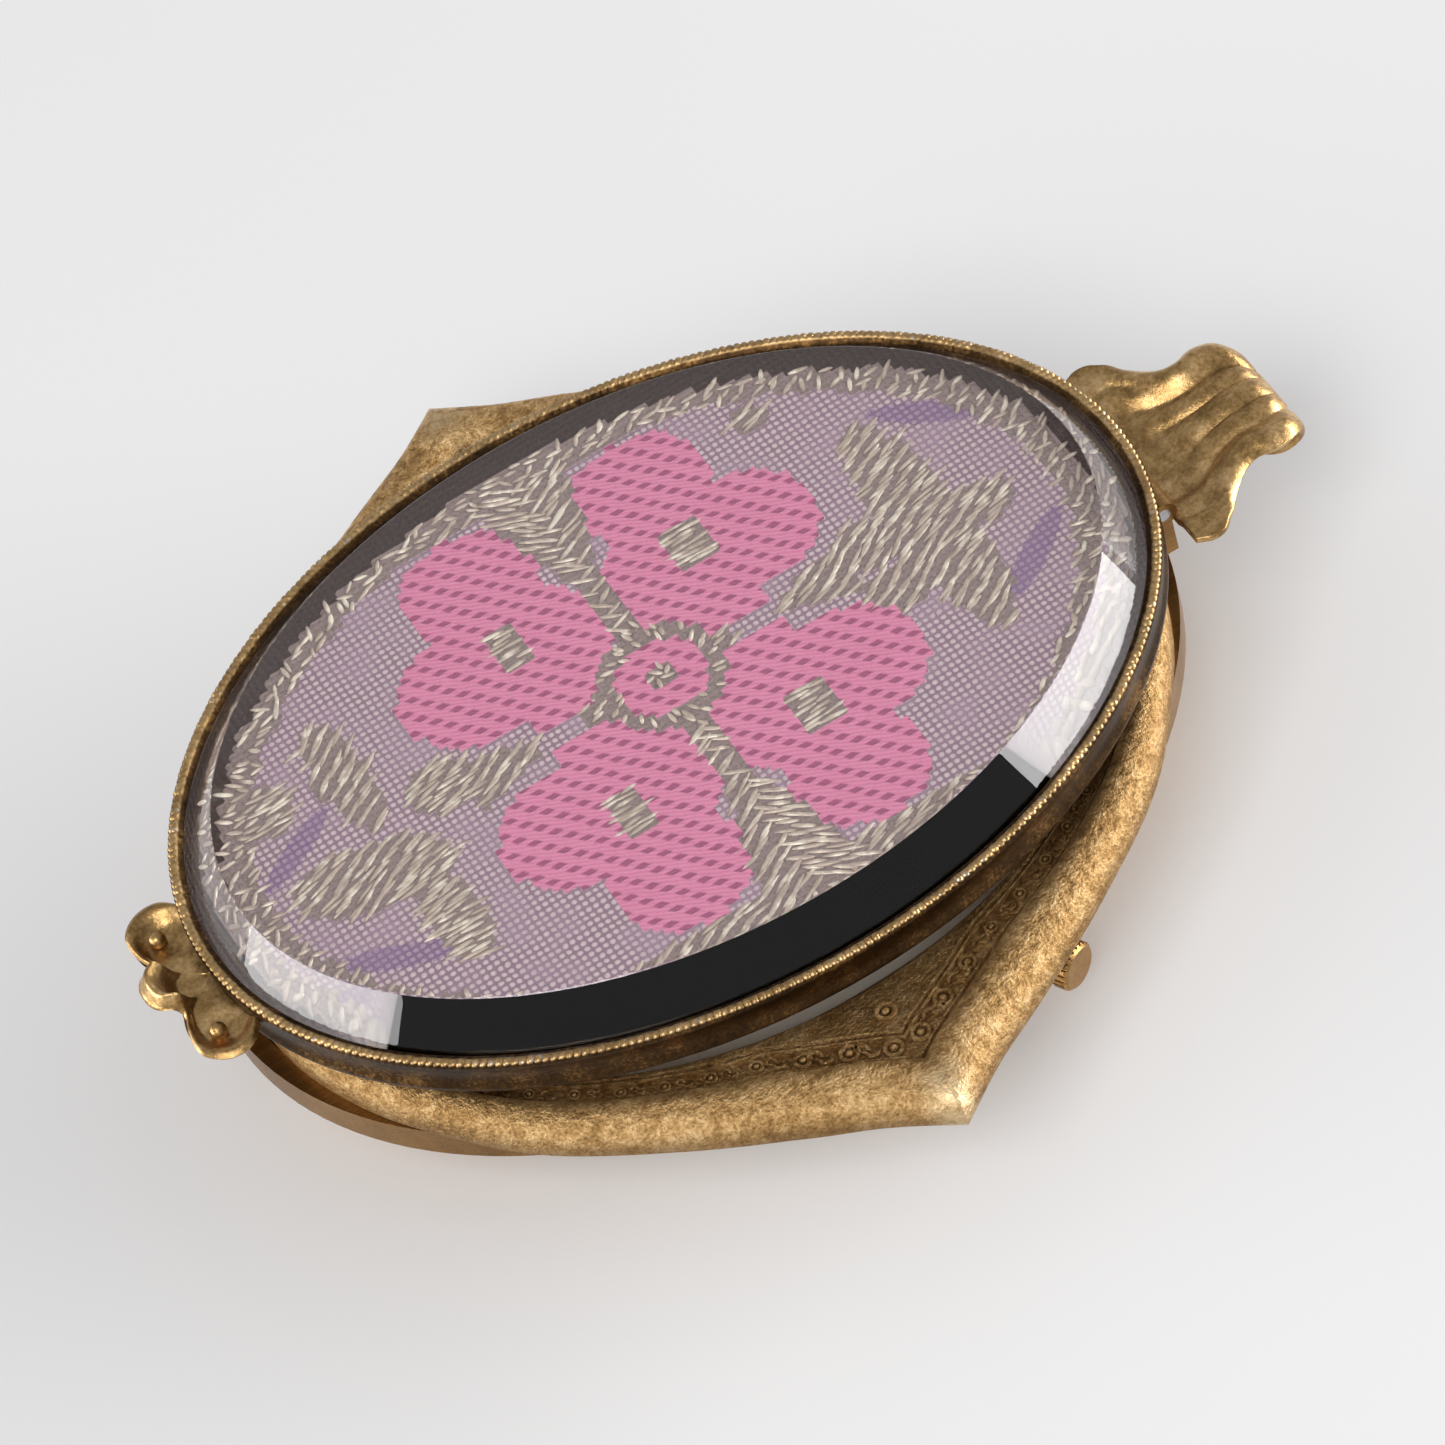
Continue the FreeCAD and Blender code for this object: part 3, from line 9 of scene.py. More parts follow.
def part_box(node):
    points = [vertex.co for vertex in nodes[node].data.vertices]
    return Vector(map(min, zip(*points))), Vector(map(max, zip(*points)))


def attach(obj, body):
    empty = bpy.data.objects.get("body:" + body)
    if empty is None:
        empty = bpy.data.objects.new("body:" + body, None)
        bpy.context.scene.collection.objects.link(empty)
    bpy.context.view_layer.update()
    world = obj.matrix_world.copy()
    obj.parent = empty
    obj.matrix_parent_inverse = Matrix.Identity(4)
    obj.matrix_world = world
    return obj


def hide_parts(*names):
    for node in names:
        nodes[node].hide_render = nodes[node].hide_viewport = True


# The watch lies on its back: +Z is up through the dial to the cover, +X points to 12 o'clock, where
# the leaf is, and the thumb-piece is at -X.  Lengths below are in millimetres, and MM makes them
# Blender's metres.

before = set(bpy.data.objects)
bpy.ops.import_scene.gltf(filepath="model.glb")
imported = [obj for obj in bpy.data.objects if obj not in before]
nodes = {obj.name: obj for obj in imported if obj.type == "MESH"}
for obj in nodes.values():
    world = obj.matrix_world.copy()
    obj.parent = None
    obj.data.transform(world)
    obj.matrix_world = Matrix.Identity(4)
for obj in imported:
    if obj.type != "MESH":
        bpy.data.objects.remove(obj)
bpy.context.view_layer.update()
MM = 0.001


def mm_box(node):
    """A CAD node's lowest and highest corners in millimetres."""
    low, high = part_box(node)
    return low / MM, high / MM


# ---------------------------------------------------------------- shader maths


class Field:
    """A number that changes over a surface; arithmetic on it adds the Math nodes."""

    def __init__(self, finish, socket):
        self.finish, self.socket = finish, socket

    def maths(self, operation, *terms):
        node = self.finish.node("ShaderNodeMath", {"operation": operation}, dict(enumerate(terms)))
        return Field(self.finish, node.outputs[0])

    def __add__(self, other):
        return self.maths("ADD", self, other)

    def __sub__(self, other):
        return self.maths("SUBTRACT", self, other)

    def __rsub__(self, other):
        return self.maths("SUBTRACT", other, self)

    def __mul__(self, other):
        return self.maths("MULTIPLY", self, other)

    def __truediv__(self, other):
        return self.maths("DIVIDE", self, other)

    def __abs__(self):
        return self.maths("ABSOLUTE", self)

    def __mod__(self, other):
        return self.maths("FLOORED_MODULO", self, other)

    __radd__ = __add__
    __rmul__ = __mul__

    def most(self, other):
        return self.maths("MAXIMUM", self, other)

    def step(self, low, high):
        """0 below low, 1 above high, and a smooth rise between; low may be the larger."""
        node = self.finish.node("ShaderNodeMapRange", {"interpolation_type": "SMOOTHSTEP"},
                                {"Value": self, "From Min": low, "From Max": high})
        return Field(self.finish, node.outputs["Result"])


class Finish:
    """A procedural material on Object coordinates."""

    def __init__(self, name):
        self.material = bpy.data.materials.new(name)
        self.material.use_nodes = True
        self.tree = self.material.node_tree
        self.tree.nodes.clear()
        self.output = self.node("ShaderNodeOutputMaterial")
        self.shader = self.node("ShaderNodeBsdfPrincipled")
        self.show(self.shader)

    def show(self, shader):
        self.tree.links.new(shader.outputs[0], self.output.inputs["Surface"])

    def node(self, kind, settings=None, inputs=None):
        """Adds any node: its settings first, then the values or links of its sockets."""
        node = self.tree.nodes.new(kind)
        for name, value in (settings or {}).items():
            if name == "stops":
                self.stops(node.color_ramp, value)
            else:
                setattr(node, name, value)
        for key, value in (inputs or {}).items():
            self.put(node.inputs[key], value)
        return node

    def stops(self, ramp, stops):
        while len(ramp.elements) < len(stops):
            ramp.elements.new(1.0)
        for element, (position, colour) in zip(ramp.elements, stops):
            element.position, element.color = position, (*colour, 1)

    def put(self, socket, value):
        if isinstance(value, Field):
            value = value.socket
        if isinstance(value, bpy.types.NodeSocket):
            self.tree.links.new(value, socket)
        elif isinstance(value, tuple) and len(value) == 3 and socket.type == "RGBA":
            socket.default_value = (*value, 1)
        else:
            socket.default_value = value

    def set(self, **sockets):
        for name, value in sockets.items():
            self.put(self.shader.inputs[name.replace("_", " ")], value)

    def place(self):
        """The point's x, y and z in millimetres."""
        point = self.node("ShaderNodeTexCoord").outputs["Object"]
        scaled = self.node("ShaderNodeVectorMath", {"operation": "SCALE"}, {0: point, "Scale": 1 / MM})
        parts = self.node("ShaderNodeSeparateXYZ", None, {0: scaled.outputs[0]})
        return tuple(Field(self, parts.outputs[axis]) for axis in "XYZ")

    def point(self, x, y, z):
        return self.node("ShaderNodeCombineXYZ", None, {0: x, 1: y, 2: z}).outputs[0]

    def noise(self, scale, detail=2.0, rough=0.5, at=None):
        """Noise with `scale` waves to the millimetre, about 0.5 in the middle."""
        at = at or self.point(*self.place())
        node = self.node("ShaderNodeTexNoise", None,
                         {"Vector": at, "Scale": scale, "Detail": detail, "Roughness": rough})
        return Field(self, node.outputs[0])

    def ramp(self, value, *stops):
        return self.node("ShaderNodeValToRGB", {"stops": stops}, {0: value}).outputs[0]

    def mix(self, low, high, amount):
        """One colour into another."""
        node = self.node("ShaderNodeMix", {"data_type": "RGBA"}, {0: amount, 6: low, 7: high})
        return node.outputs[2]

    def dim(self, colour, amount):
        """A colour times a number."""
        node = self.node("ShaderNodeVectorMath", {"operation": "SCALE"}, {0: colour, "Scale": amount})
        return node.outputs[0]

    def relief(self, height, depth):
        """A bump whose height field runs over `depth` millimetres."""
        return self.node("ShaderNodeBump", None,
                         {"Height": height, "Distance": depth * MM, "Strength": 1.0}).outputs[0]


def srgb(red, green, blue):
    """A colour as the eye reads it, 0-255, as linear light."""
    def linear(part):
        part = part / 255
        return part / 12.92 if part <= 0.04045 else ((part + 0.055) / 1.055) ** 2.4
    return linear(red), linear(green), linear(blue)


# ---------------------------------------------------------------- finishes

SAND_GRAIN, SAND_DEPTH = 7.5, 0.22
STITCH = 0.31
GLASS_BEND = 1.52


def sanded_gilt():
    """Old gilt over a fine sand texture: bright on the tops, brown in the hollows, painted darker lower
    down as shade, and rubbed at the tips with a painted highlight.
    """
    finish = Finish("sanded_gilt")
    fine = finish.noise(SAND_GRAIN, 3.0, 0.62)
    coarse = finish.noise(SAND_GRAIN * 0.3, 3.0, 0.55)
    blotch = finish.noise(0.35, 3.0, 0.6)
    height = fine * 0.5 + coarse * 0.65
    tone = (height * 0.95 + blotch * 0.4).step(0.48, 0.98)
    worn = finish.ramp(tone, (0.0, srgb(130, 97, 55)), (0.35, srgb(168, 131, 81)),
                       (0.7, srgb(198, 161, 108)), (1.0, srgb(226, 192, 141)))
    grime = (1 - fine).step(0.5, 0.78) * 0.3
    colour = finish.mix(worn, srgb(86, 60, 28), grime)
    x, y, z = finish.place()
    recess = z.step(8.0, 7.84) * coarse.step(0.2, 0.6)
    colour = finish.mix(colour, srgb(92, 66, 34), recess * 0.22)
    # painted shade: the gilt is painted darker brown the lower it lies, on the border's lower slopes and
    # on the plate
    colour = finish.mix(colour, srgb(100, 70, 36), z.step(8.65, 7.7) * 0.42)
    # rubbed gilt at the frame's points: smoother and less sandy there, and painted lighter as a highlight
    at_tips = abs(x).step(1.5, 0.1) * abs(y).step(18.2, 20.4)
    rubbed_and_highlit = at_tips * (coarse * 0.6 + blotch * 0.6).step(0.35, 0.75)
    colour = finish.mix(colour, srgb(232, 206, 164), rubbed_and_highlit * 0.65)
    finish.set(Base_Color=colour, Metallic=0.88,
               Roughness=blotch * 0.16 + (1 - fine) * 0.2 + 0.36 - rubbed_and_highlit * 0.14,
               Normal=finish.relief(height * (1 - rubbed_and_highlit * 0.7), SAND_DEPTH))
    return finish.material


def turned_gilt():
    """Smooth gilt walls, gone brown and dull, with fine marks along them."""
    finish = Finish("turned_gilt")
    x, y, z = finish.place()
    streaks = finish.noise(1.0, 3.0, 0.6, finish.point(x * 0.8, y * 9, z * 9))
    blotch = finish.noise(0.16, 3.0, 0.55)
    pits = finish.noise(5.0, 3.0, 0.7).step(0.64, 0.72)
    tone = (streaks * 0.35 + blotch * 0.8).step(0.3, 0.9)
    colour = finish.ramp(tone, (0.0, srgb(116, 84, 46)), (0.5, srgb(156, 118, 70)),
                         (1.0, srgb(192, 152, 98)))
    colour = finish.mix(colour, srgb(74, 50, 26), pits * 0.5)
    finish.set(Base_Color=colour, Metallic=0.95, Roughness=streaks * 0.16 + pits * 0.2 + 0.26,
               Normal=finish.relief(streaks - pits * 0.5, 0.014))
    return finish.material


def frosted_brass():
    """Movement plates: finely grained gilt brass."""
    finish = Finish("frosted_brass")
    grain = finish.noise(14.0, 2.0, 0.6)
    tone = finish.noise(0.4, 2.0)
    colour = finish.mix(srgb(196, 158, 92), srgb(226, 192, 124), tone)
    finish.set(Base_Color=colour, Metallic=1.0, Roughness=grain * 0.15 + 0.32,
               Normal=finish.relief(grain, 0.01))
    return finish.material


def brushed_steel():
    finish = Finish("brushed_steel")
    x, y, z = finish.place()
    lines = finish.noise(1.0, 3.0, 0.6, finish.point(x * 1.2, y * 22, z * 22))
    colour = finish.mix(srgb(150, 150, 152), srgb(206, 206, 208), lines)
    finish.set(Base_Color=colour, Metallic=1.0, Roughness=lines * 0.16 + 0.18,
               Normal=finish.relief(lines, 0.006))
    return finish.material


def blued_steel():
    """Steel blued over a flame, purple where it was hottest."""
    finish = Finish("blued_steel")
    heat = finish.noise(0.5, 2.0)
    fine = finish.noise(9.0, 2.0)
    colour = finish.mix(srgb(24, 38, 104), srgb(58, 40, 112), heat.step(0.35, 0.75))
    finish.set(Base_Color=colour, Metallic=1.0, Roughness=fine * 0.1 + 0.16,
               Normal=finish.relief(fine, 0.004))
    return finish.material


def fired_enamel():
    """White enamel with the faint waviness of a fired surface."""
    finish = Finish("fired_enamel")
    wave = finish.noise(0.35, 2.0)
    specks = finish.noise(6.0, 2.0).step(0.72, 0.8)
    colour = finish.mix(srgb(242, 236, 224), srgb(206, 198, 184), specks * 0.6)
    finish.set(Base_Color=colour, Roughness=wave * 0.08 + 0.1, Normal=finish.relief(wave, 0.05))
    return finish.material


def dial_black():
    finish = Finish("dial_black")
    wear = finish.noise(4.0, 3.0)
    colour = finish.mix(srgb(22, 20, 22), srgb(64, 58, 56), wear.step(0.5, 0.8))
    finish.set(Base_Color=colour, Roughness=0.42)
    return finish.material


def ruby():
    finish = Finish("ruby")
    depth = finish.noise(2.5, 2.0)
    colour = finish.mix(srgb(150, 12, 44), srgb(206, 34, 74), depth)
    finish.set(Base_Color=colour, Roughness=0.06, Coat_Weight=0.6)
    return finish.material


def backing_card():
    finish = Finish("backing_card")
    fibre = finish.noise(7.0, 4.0, 0.65)
    colour = finish.mix(srgb(196, 186, 164), srgb(224, 216, 196), fibre)
    finish.set(Base_Color=colour, Roughness=0.9, Normal=finish.relief(fibre, 0.03))
    return finish.material


def clear_glass():
    """Polished glass that lets the lamps' light through to what lies under it."""
    finish = Finish("clear_glass")
    smear = finish.noise(0.45, 4.0, 0.6)
    finish.set(Base_Color=(1.0, 1.0, 1.0), Roughness=smear.step(0.55, 0.95) * 0.05, IOR=GLASS_BEND,
               Transmission_Weight=1.0)
    clear = finish.node("ShaderNodeBsdfTransparent", None, {"Color": (0.97, 0.98, 0.98)})
    path = finish.node("ShaderNodeLightPath")
    shadow, diffuse = (Field(finish, path.outputs[f"Is {kind} Ray"]) for kind in ("Shadow", "Diffuse"))
    both = finish.node("ShaderNodeMixShader", None,
                       {0: shadow.most(diffuse), 1: finish.shader.outputs[0], 2: clear.outputs[0]})
    finish.show(both)
    return finish.material


def leaf_gilt():
    """Rubbed gilt on the leaf and thumb-piece: bright in patches, olive and brown between."""
    finish = Finish("leaf_gilt")
    blotch = finish.noise(0.9, 4.0, 0.6)
    fine = finish.noise(6.0, 3.0, 0.6)
    tone = (blotch * 0.7 + fine * 0.35).step(0.3, 0.78)
    colour = finish.ramp(tone, (0.0, srgb(128, 99, 60)), (0.4, srgb(176, 141, 90)),
                         (0.75, srgb(210, 173, 119)), (1.0, srgb(234, 200, 150)))
    finish.set(Base_Color=colour, Metallic=0.92, Roughness=fine * 0.2 + 0.24,
               Normal=finish.relief(fine, 0.02))
    return finish.material


def milled_gilt():
    """The bezel: painted bright on the milled crest, with painted glints, and painted dark brown as shade
    in its walls.
    """
    finish = Finish("milled_gilt")
    blotch = finish.noise(0.5, 4.0, 0.62)
    fine = finish.noise(7.0, 3.0, 0.6)
    crest = finish.place()[2].step(11.84, 11.95)
    worn = (blotch * 0.6 + fine * 0.5).step(0.3, 0.8)
    # painted shade: the walls are painted dark brown
    shaded_wall = finish.ramp(worn, (0.0, srgb(34, 23, 11)), (0.6, srgb(72, 50, 26)), (1.0, srgb(128, 95, 54)))
    # painted light: the crest is painted bright gilt, and the whitish specks on it are painted glints
    top = finish.ramp(worn, (0.0, srgb(150, 116, 70)), (1.0, srgb(226, 190, 136)))
    top = finish.mix(top, srgb(206, 196, 184), finish.noise(2.2, 4.0, 0.7).step(0.58, 0.68) * 0.7)
    finish.set(Base_Color=finish.mix(shaded_wall, top, crest), Metallic=0.93, Roughness=fine * 0.22 + 0.24,
               Normal=finish.relief(fine, 0.018))
    return finish.material


def brocade_silk():
    """Lilac ground, pink petals with a twill of darker dots, the dull bed of the metal thread, and
    painted shadow, dark brown, on the cloth under the bevel.
    """
    finish = Finish("brocade_silk")
    x, y, _ = finish.place()
    mark = finish.node("ShaderNodeVertexColor", {"layer_name": "weave"}).outputs["Color"]
    parts = finish.node("ShaderNodeSeparateColor", None, {0: mark})
    petal, metal, vein = (Field(finish, parts.outputs[place]) for place in range(3))
    petal, metal = petal.step(0.3, 0.7), metal.step(0.3, 0.7)
    wander = (finish.noise(1.1, 2.0) - 0.5) * 0.14
    across, up = x + wander, y + wander

    def pitch(value, length):
        return abs((value / length) % 1 - 0.5) * 2
    weft, warp = pitch(up, STITCH), pitch(across, STITCH)
    cell = (weft * warp).step(0.02, 0.5)
    soft = finish.noise(0.6, 3.0)
    fuzz = finish.noise(9.0, 3.0, 0.65)
    ground = finish.mix(srgb(142, 112, 128), srgb(208, 186, 188), cell)
    ground = finish.mix(ground, srgb(172, 144, 160), soft.step(0.4, 0.7) * 0.5)
    # the blue mark is half on a vein and full under the bevel, where the cloth is painted dark brown as
    # shadow
    edge_shadow = vein.step(0.6, 0.9)
    ground = finish.mix(ground, srgb(118, 84, 134), vein.step(0.2, 0.5) * 0.55)
    dots = pitch(across + up * 0.8, 0.95).step(0.42, 0.7) * pitch(up, 0.5).step(0.35, 0.65)
    twill = pitch(across * 0.6 + up, 0.22)
    pink = finish.mix(srgb(210, 114, 150), srgb(230, 146, 176), twill * 0.6 + soft * 0.4)
    pink = finish.mix(pink, srgb(150, 64, 104), dots * 0.85)
    bed = finish.mix(srgb(112, 94, 92), srgb(168, 148, 142), fuzz)
    colour = finish.mix(finish.mix(ground, pink, petal), bed, metal)
    colour = finish.mix(colour, finish.dim(colour, 0.7), (1 - fuzz).step(0.5, 0.75) * 0.5)
    colour = finish.mix(colour, srgb(50, 32, 26), edge_shadow)
    height = (cell * (1 - petal) + (twill * 0.5 - dots * 0.9) * petal) * 0.8 + fuzz * 0.4
    finish.set(Base_Color=colour, Roughness=0.74 - petal * 0.1, Specular_IOR_Level=0.35,
               Normal=finish.relief(height, 0.05))
    return finish.material


def metal_thread():
    """Tarnished silver-gilt strip, with light and shade painted on: bright along the tops of the floats,
    dark between them, and painted glints on some tops.
    """
    finish = Finish("metal_thread")
    height = finish.place()[2]
    each = finish.noise(1.7, 2.0, 0.5)
    fine = finish.noise(11.0, 2.0)
    # painted light and shade: each float is painted dark low down and bright on its top
    crown = (height + (fine - 0.5) * 0.02).step(11.0, 11.07)
    tone = finish.mix(srgb(120, 100, 92), srgb(204, 186, 170), crown)
    # painted glints on the tops of some floats
    tone = finish.mix(tone, srgb(236, 224, 206), crown * each.step(0.48, 0.66))
    tone = finish.mix(tone, srgb(150, 128, 114), (1 - each).step(0.52, 0.72) * 0.45)
    finish.set(Base_Color=tone, Metallic=0.35, Roughness=fine * 0.2 + 0.36,
               Normal=finish.relief(fine, 0.01))
    return finish.material


# ---------------------------------------------------------------- modelling helpers

WELD_GAP = 0.002


def object_mode():
    if bpy.context.mode != "OBJECT":
        bpy.ops.object.mode_set(mode="OBJECT")


def begin(kind, **size):
    """Adds a primitive with nothing else selected and opens it in edit mode."""
    object_mode()
    bpy.ops.object.select_all(action="DESELECT")
    getattr(bpy.ops.mesh, f"primitive_{kind}_add")(**size)
    piece = bpy.context.object
    bpy.ops.object.mode_set(mode="EDIT")
    return piece


def pick(piece, test):
    """Selects the faces whose middle, in millimetres, passes a test."""
    bpy.ops.mesh.select_mode(type="FACE")
    bpy.ops.mesh.select_all(action="DESELECT")
    mesh = bmesh.from_edit_mesh(piece.data)
    for face in mesh.faces:
        face.select_set(bool(test(face.calc_center_median() / MM)))
    bmesh.update_edit_mesh(piece.data)


def widen(x, y, z=1.0):
    bpy.ops.transform.resize(value=(x, y, z), center_override=(0, 0, 0))


def raise_face(height):
    bpy.ops.mesh.extrude_region_move(TRANSFORM_OT_translate={"value": (0, 0, height * MM)})


def shape(piece, move):
    """Moves every point by a rule on its place; the rule works in millimetres."""
    object_mode()
    for vertex in piece.data.vertices:
        vertex.co = Vector(move(*(vertex.co / MM))) * MM


def patch(across, along, rule):
    """A grid led over a surface: the rule turns shares of 0-1 across and along into a place."""
    piece = begin("grid", x_subdivisions=across, y_subdivisions=along, size=2 * MM)
    shape(piece, lambda x, y, z: rule((x + 1) / 2, (y + 1) / 2))
    return piece


def only(piece):
    object_mode()
    bpy.ops.object.select_all(action="DESELECT")
    piece.select_set(True)
    bpy.context.view_layer.objects.active = piece


def modify(piece, kind, **settings):
    """Adds a modifier and applies it."""
    only(piece)
    modifier = piece.modifiers.new(kind.lower(), kind)
    for name, value in settings.items():
        setattr(modifier, name, value)
    bpy.ops.object.modifier_apply(modifier=modifier.name)


def weld(piece):
    """Merges doubled points and turns the faces outward."""
    only(piece)
    bpy.ops.object.mode_set(mode="EDIT")
    bpy.ops.mesh.select_all(action="SELECT")
    bpy.ops.mesh.remove_doubles(threshold=WELD_GAP * MM)
    bpy.ops.mesh.normals_make_consistent(inside=False)
    object_mode()


def give(piece, name, body, material, stands_for=(), smooth=40):
    """Names a piece, sets its place into its mesh and gives it to a body."""
    only(piece)
    bpy.ops.object.transform_apply(location=True, rotation=True, scale=True)
    piece.name = piece.data.name = name
    piece.data.materials.clear()
    piece.data.materials.append(material)
    bpy.ops.object.shade_smooth_by_angle(angle=math.radians(smooth))
    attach(piece, body)
    if stands_for:
        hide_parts(*stands_for)


def copies(pattern, places):
    """Many copies of a small piece in one mesh, each set by its own matrix in millimetres."""
    object_mode()
    built = bmesh.new()
    for place in places:
        turned = pattern.data.copy()
        turned.transform(Matrix.Scale(MM, 4) @ place @ Matrix.Scale(1 / MM, 4))
        built.from_mesh(turned)
        bpy.data.meshes.remove(turned)
    built.to_mesh(pattern.data)
    built.free()


def joined(pieces):
    only(pieces[0])
    for piece in pieces:
        piece.select_set(True)
    bpy.ops.object.join()
    return pieces[0]


def smooth_share(low, high, value):
    share = min(1.0, max(0.0, (value - low) / (high - low)))
    return share * share * (3 - 2 * share)


def along_line(points, share):
    """The place on a smooth line through points, at a share of its count of spans."""
    span = min(len(points) - 2, int(share * (len(points) - 1)))
    part = share * (len(points) - 1) - span
    ahead = [2 * a - b for a, b in zip(points[0], points[1])]
    after = [2 * a - b for a, b in zip(points[-1], points[-2])]
    line = [ahead, *points, after]
    return tuple(
        b + 0.5 * part * (c - a + part * (2 * a - 5 * b + 4 * c - d + part * (3 * (b - c) + d - a)))
        for a, b, c, d in zip(*line[span:span + 4]))


def grain_at(x, y, z, waves):
    return noise.noise(Vector((x, y, z)) * waves)


# ---------------------------------------------------------------- the oval cover

COVER_LOW, COVER_HIGH = mm_box("cover_bezel")
COVER_X, COVER_Y = (COVER_HIGH - COVER_LOW).x / 2, (COVER_HIGH - COVER_LOW).y / 2
CLOTH_HIGH = mm_box("brocade_panel")[1]
GLASS_TOP = mm_box("cover_glass")[1].z
GLASS_INSET, FLAT_INSET = 0.6, 2.1
MILLED_TEETH = 378
TOOTH_WEAR = 0.045


def oval(inset, turn):
    return (COVER_X - inset) * math.cos(turn), (COVER_Y - inset) * math.sin(turn)


def even_turns(count):
    """Turns round the cover's outline that are the same distance apart along it."""
    fine = 7200
    walk, turns = [0.0], [2 * math.pi * step / fine for step in range(fine + 1)]
    for before, after in zip(turns, turns[1:]):
        walk.append(walk[-1] + math.dist(oval(0, before), oval(0, after)))
    spots, at = [], 0
    for step in range(count):
        while walk[at + 1] < walk[-1] * step / count:
            at += 1
        part = (walk[-1] * step / count - walk[at]) / (walk[at + 1] - walk[at])
        spots.append(turns[at] + part * (turns[at + 1] - turns[at]))
    return spots


def build_rim():
    """The bezel: one tooth of its milled crest, repeated and led round the oval."""
    height = COVER_HIGH.z - COVER_LOW.z
    # (inset, height, how deep the milling cuts there)
    profile = [(1.55, 0.0, 0), (0.12, 0.0, 0), (0.0, 0.1, 0), (0.0, 0.3, 0), (0.1, 0.42, 0),
               (0.1, 1.3, 0), (0.0, 1.44, 0.2), (0.0, height - 0.16, 0.8), (0.06, height - 0.05, 1),
               (0.17, height, 1), (0.32, height - 0.02, 1), (0.4, height - 0.1, 0.3),
               (0.5, height - 0.22, 0), (0.62, height - 0.27, 0), (0.58, 1.32, 0), (0.58, 0.16, 0),
               (1.55, 0.16, 0), (1.55, 0.0, 0)]
    last = len(profile) - 1
    # across one tooth: (share of its width, how far into the gap)
    sections = ((0.0, 1.0), (0.3, 0.0), (0.68, 0.0), (1.0, 1.0))

    def place(across, along):
        part, cut = sections[round(across * 3)]
        inset, level, depth = profile[round(along * last)]
        return part, inset + cut * depth * 0.04, level - cut * depth * 0.075
    tooth = patch(3, last, place)
    modify(tooth, "ARRAY", count=MILLED_TEETH, use_merge_vertices=True, merge_threshold=0.001 * MM)
    turns = even_turns(MILLED_TEETH) + [2 * math.pi]
    wear = random.Random(4)
    worn = [wear.uniform(0, TOOTH_WEAR) for _ in turns]

    def lead_round(along, inset, level):
        number = min(MILLED_TEETH - 1, int(along + 1e-4))
        turn = turns[number] + (along - number) * (turns[number + 1] - turns[number])
        x, y = oval(inset, turn)
        if level > height - 0.25:
            level -= worn[number] * smooth_share(0, 0.3, 0.5 - abs(along - number - 0.5))
        return x, y, COVER_LOW.z + level
    shape(tooth, lead_round)
    weld(tooth)
    give(tooth, "milled_rim", "cover", RIM, ["cover_bezel"], 50)


def build_cover_glass():
    """The bevelled glass: a short foot under the lip, a wide bevel and a flat top."""
    glass = begin("circle", vertices=360, radius=1, fill_type="NGON", location=(0, 0, 0))
    inset, level = GLASS_INSET, CLOTH_HIGH.z + 0.005
    widen((COVER_X - inset) * MM, (COVER_Y - inset) * MM)
    bpy.ops.transform.translate(value=(0, 0, level * MM))
    shoulder = COVER_HIGH.z - 0.46
    steps = ((inset, shoulder), (inset + 0.03, shoulder + 0.04), (FLAT_INSET - 0.03, GLASS_TOP - 0.03),
             (FLAT_INSET + 0.02, GLASS_TOP))
    for next_inset, next_level in steps:
        raise_face(next_level - level)
        widen((COVER_X - next_inset) / (COVER_X - inset), (COVER_Y - next_inset) / (COVER_Y - inset))
        inset, level = next_inset, next_level
    weld(glass)
    give(glass, "bevelled_glass", "cover", GLASS, ["cover_glass"], 12)


# ---------------------------------------------------------------- the brocade

# the cloth's top face lies a little under the top of the room it has
CLOTH_DROP, CLOTH_THICKNESS = 0.1, 0.07
# the weft lines that the floats follow, and the usual step from one float to the next
FLOAT_ROW, FLOAT_STEP = 0.235, 1.05
# the flower's middle, the radius of its heart and, in each petal, the place of a small metal bud
FLOWER = (0.14, 0.44)
FLOWER_HEART = 3.0
BUD_X, BUD_Y = 4.15, 5.0
PETAL_ROUNDS = ((6.3, 4.2, 2.8), (3.9, 8.4, 2.8), (3.6, 4.3, 3.4), (2.8, 1.5, 2.4))
# what the metal thread fills beside the flower: (x, y, half length, half width, tilt)
SPRIGS = ((-13.3, -0.9, 3.3, 1.6, -15), (-12.1, 4.0, 1.1, 3.0, 0), (-11.6, -4.5, 1.1, 2.4, 0),
          (-15.4, 4.4, 1.3, 1.2, 0), (-9.1, 1.2, 1.4, 1.3, 0), (12.1, 0.4, 1.6, 6.2, 0),
          (9.1, 9.3, 0.8, 0.6, 0), (9.8, 0.9, 1.5, 1.2, 0), (9.6, -1.6, 1.5, 1.1, 0),
          (14.3, -0.1, 1.3, 1.0, 0))
VEINS = ((-15.2, 2.0, 2.2, 0.5, 30), (-14.2, -4.9, 2.6, 0.6, -25), (-15.0, 7.0, 2.2, 0.5, 35),
         (14.6, -3.6, 2.4, 0.6, 35), (15.0, 5.0, 2.6, 0.6, -35))


def in_oval(x, y, centre_x, centre_y, half_x, half_y, tilt=0.0):
    turn = math.radians(tilt)
    dx, dy = x - centre_x, y - centre_y
    along = dx * math.cos(turn) + dy * math.sin(turn)
    across = dy * math.cos(turn) - dx * math.sin(turn)
    return (along / half_x) ** 2 + (across / half_y) ** 2 < 1


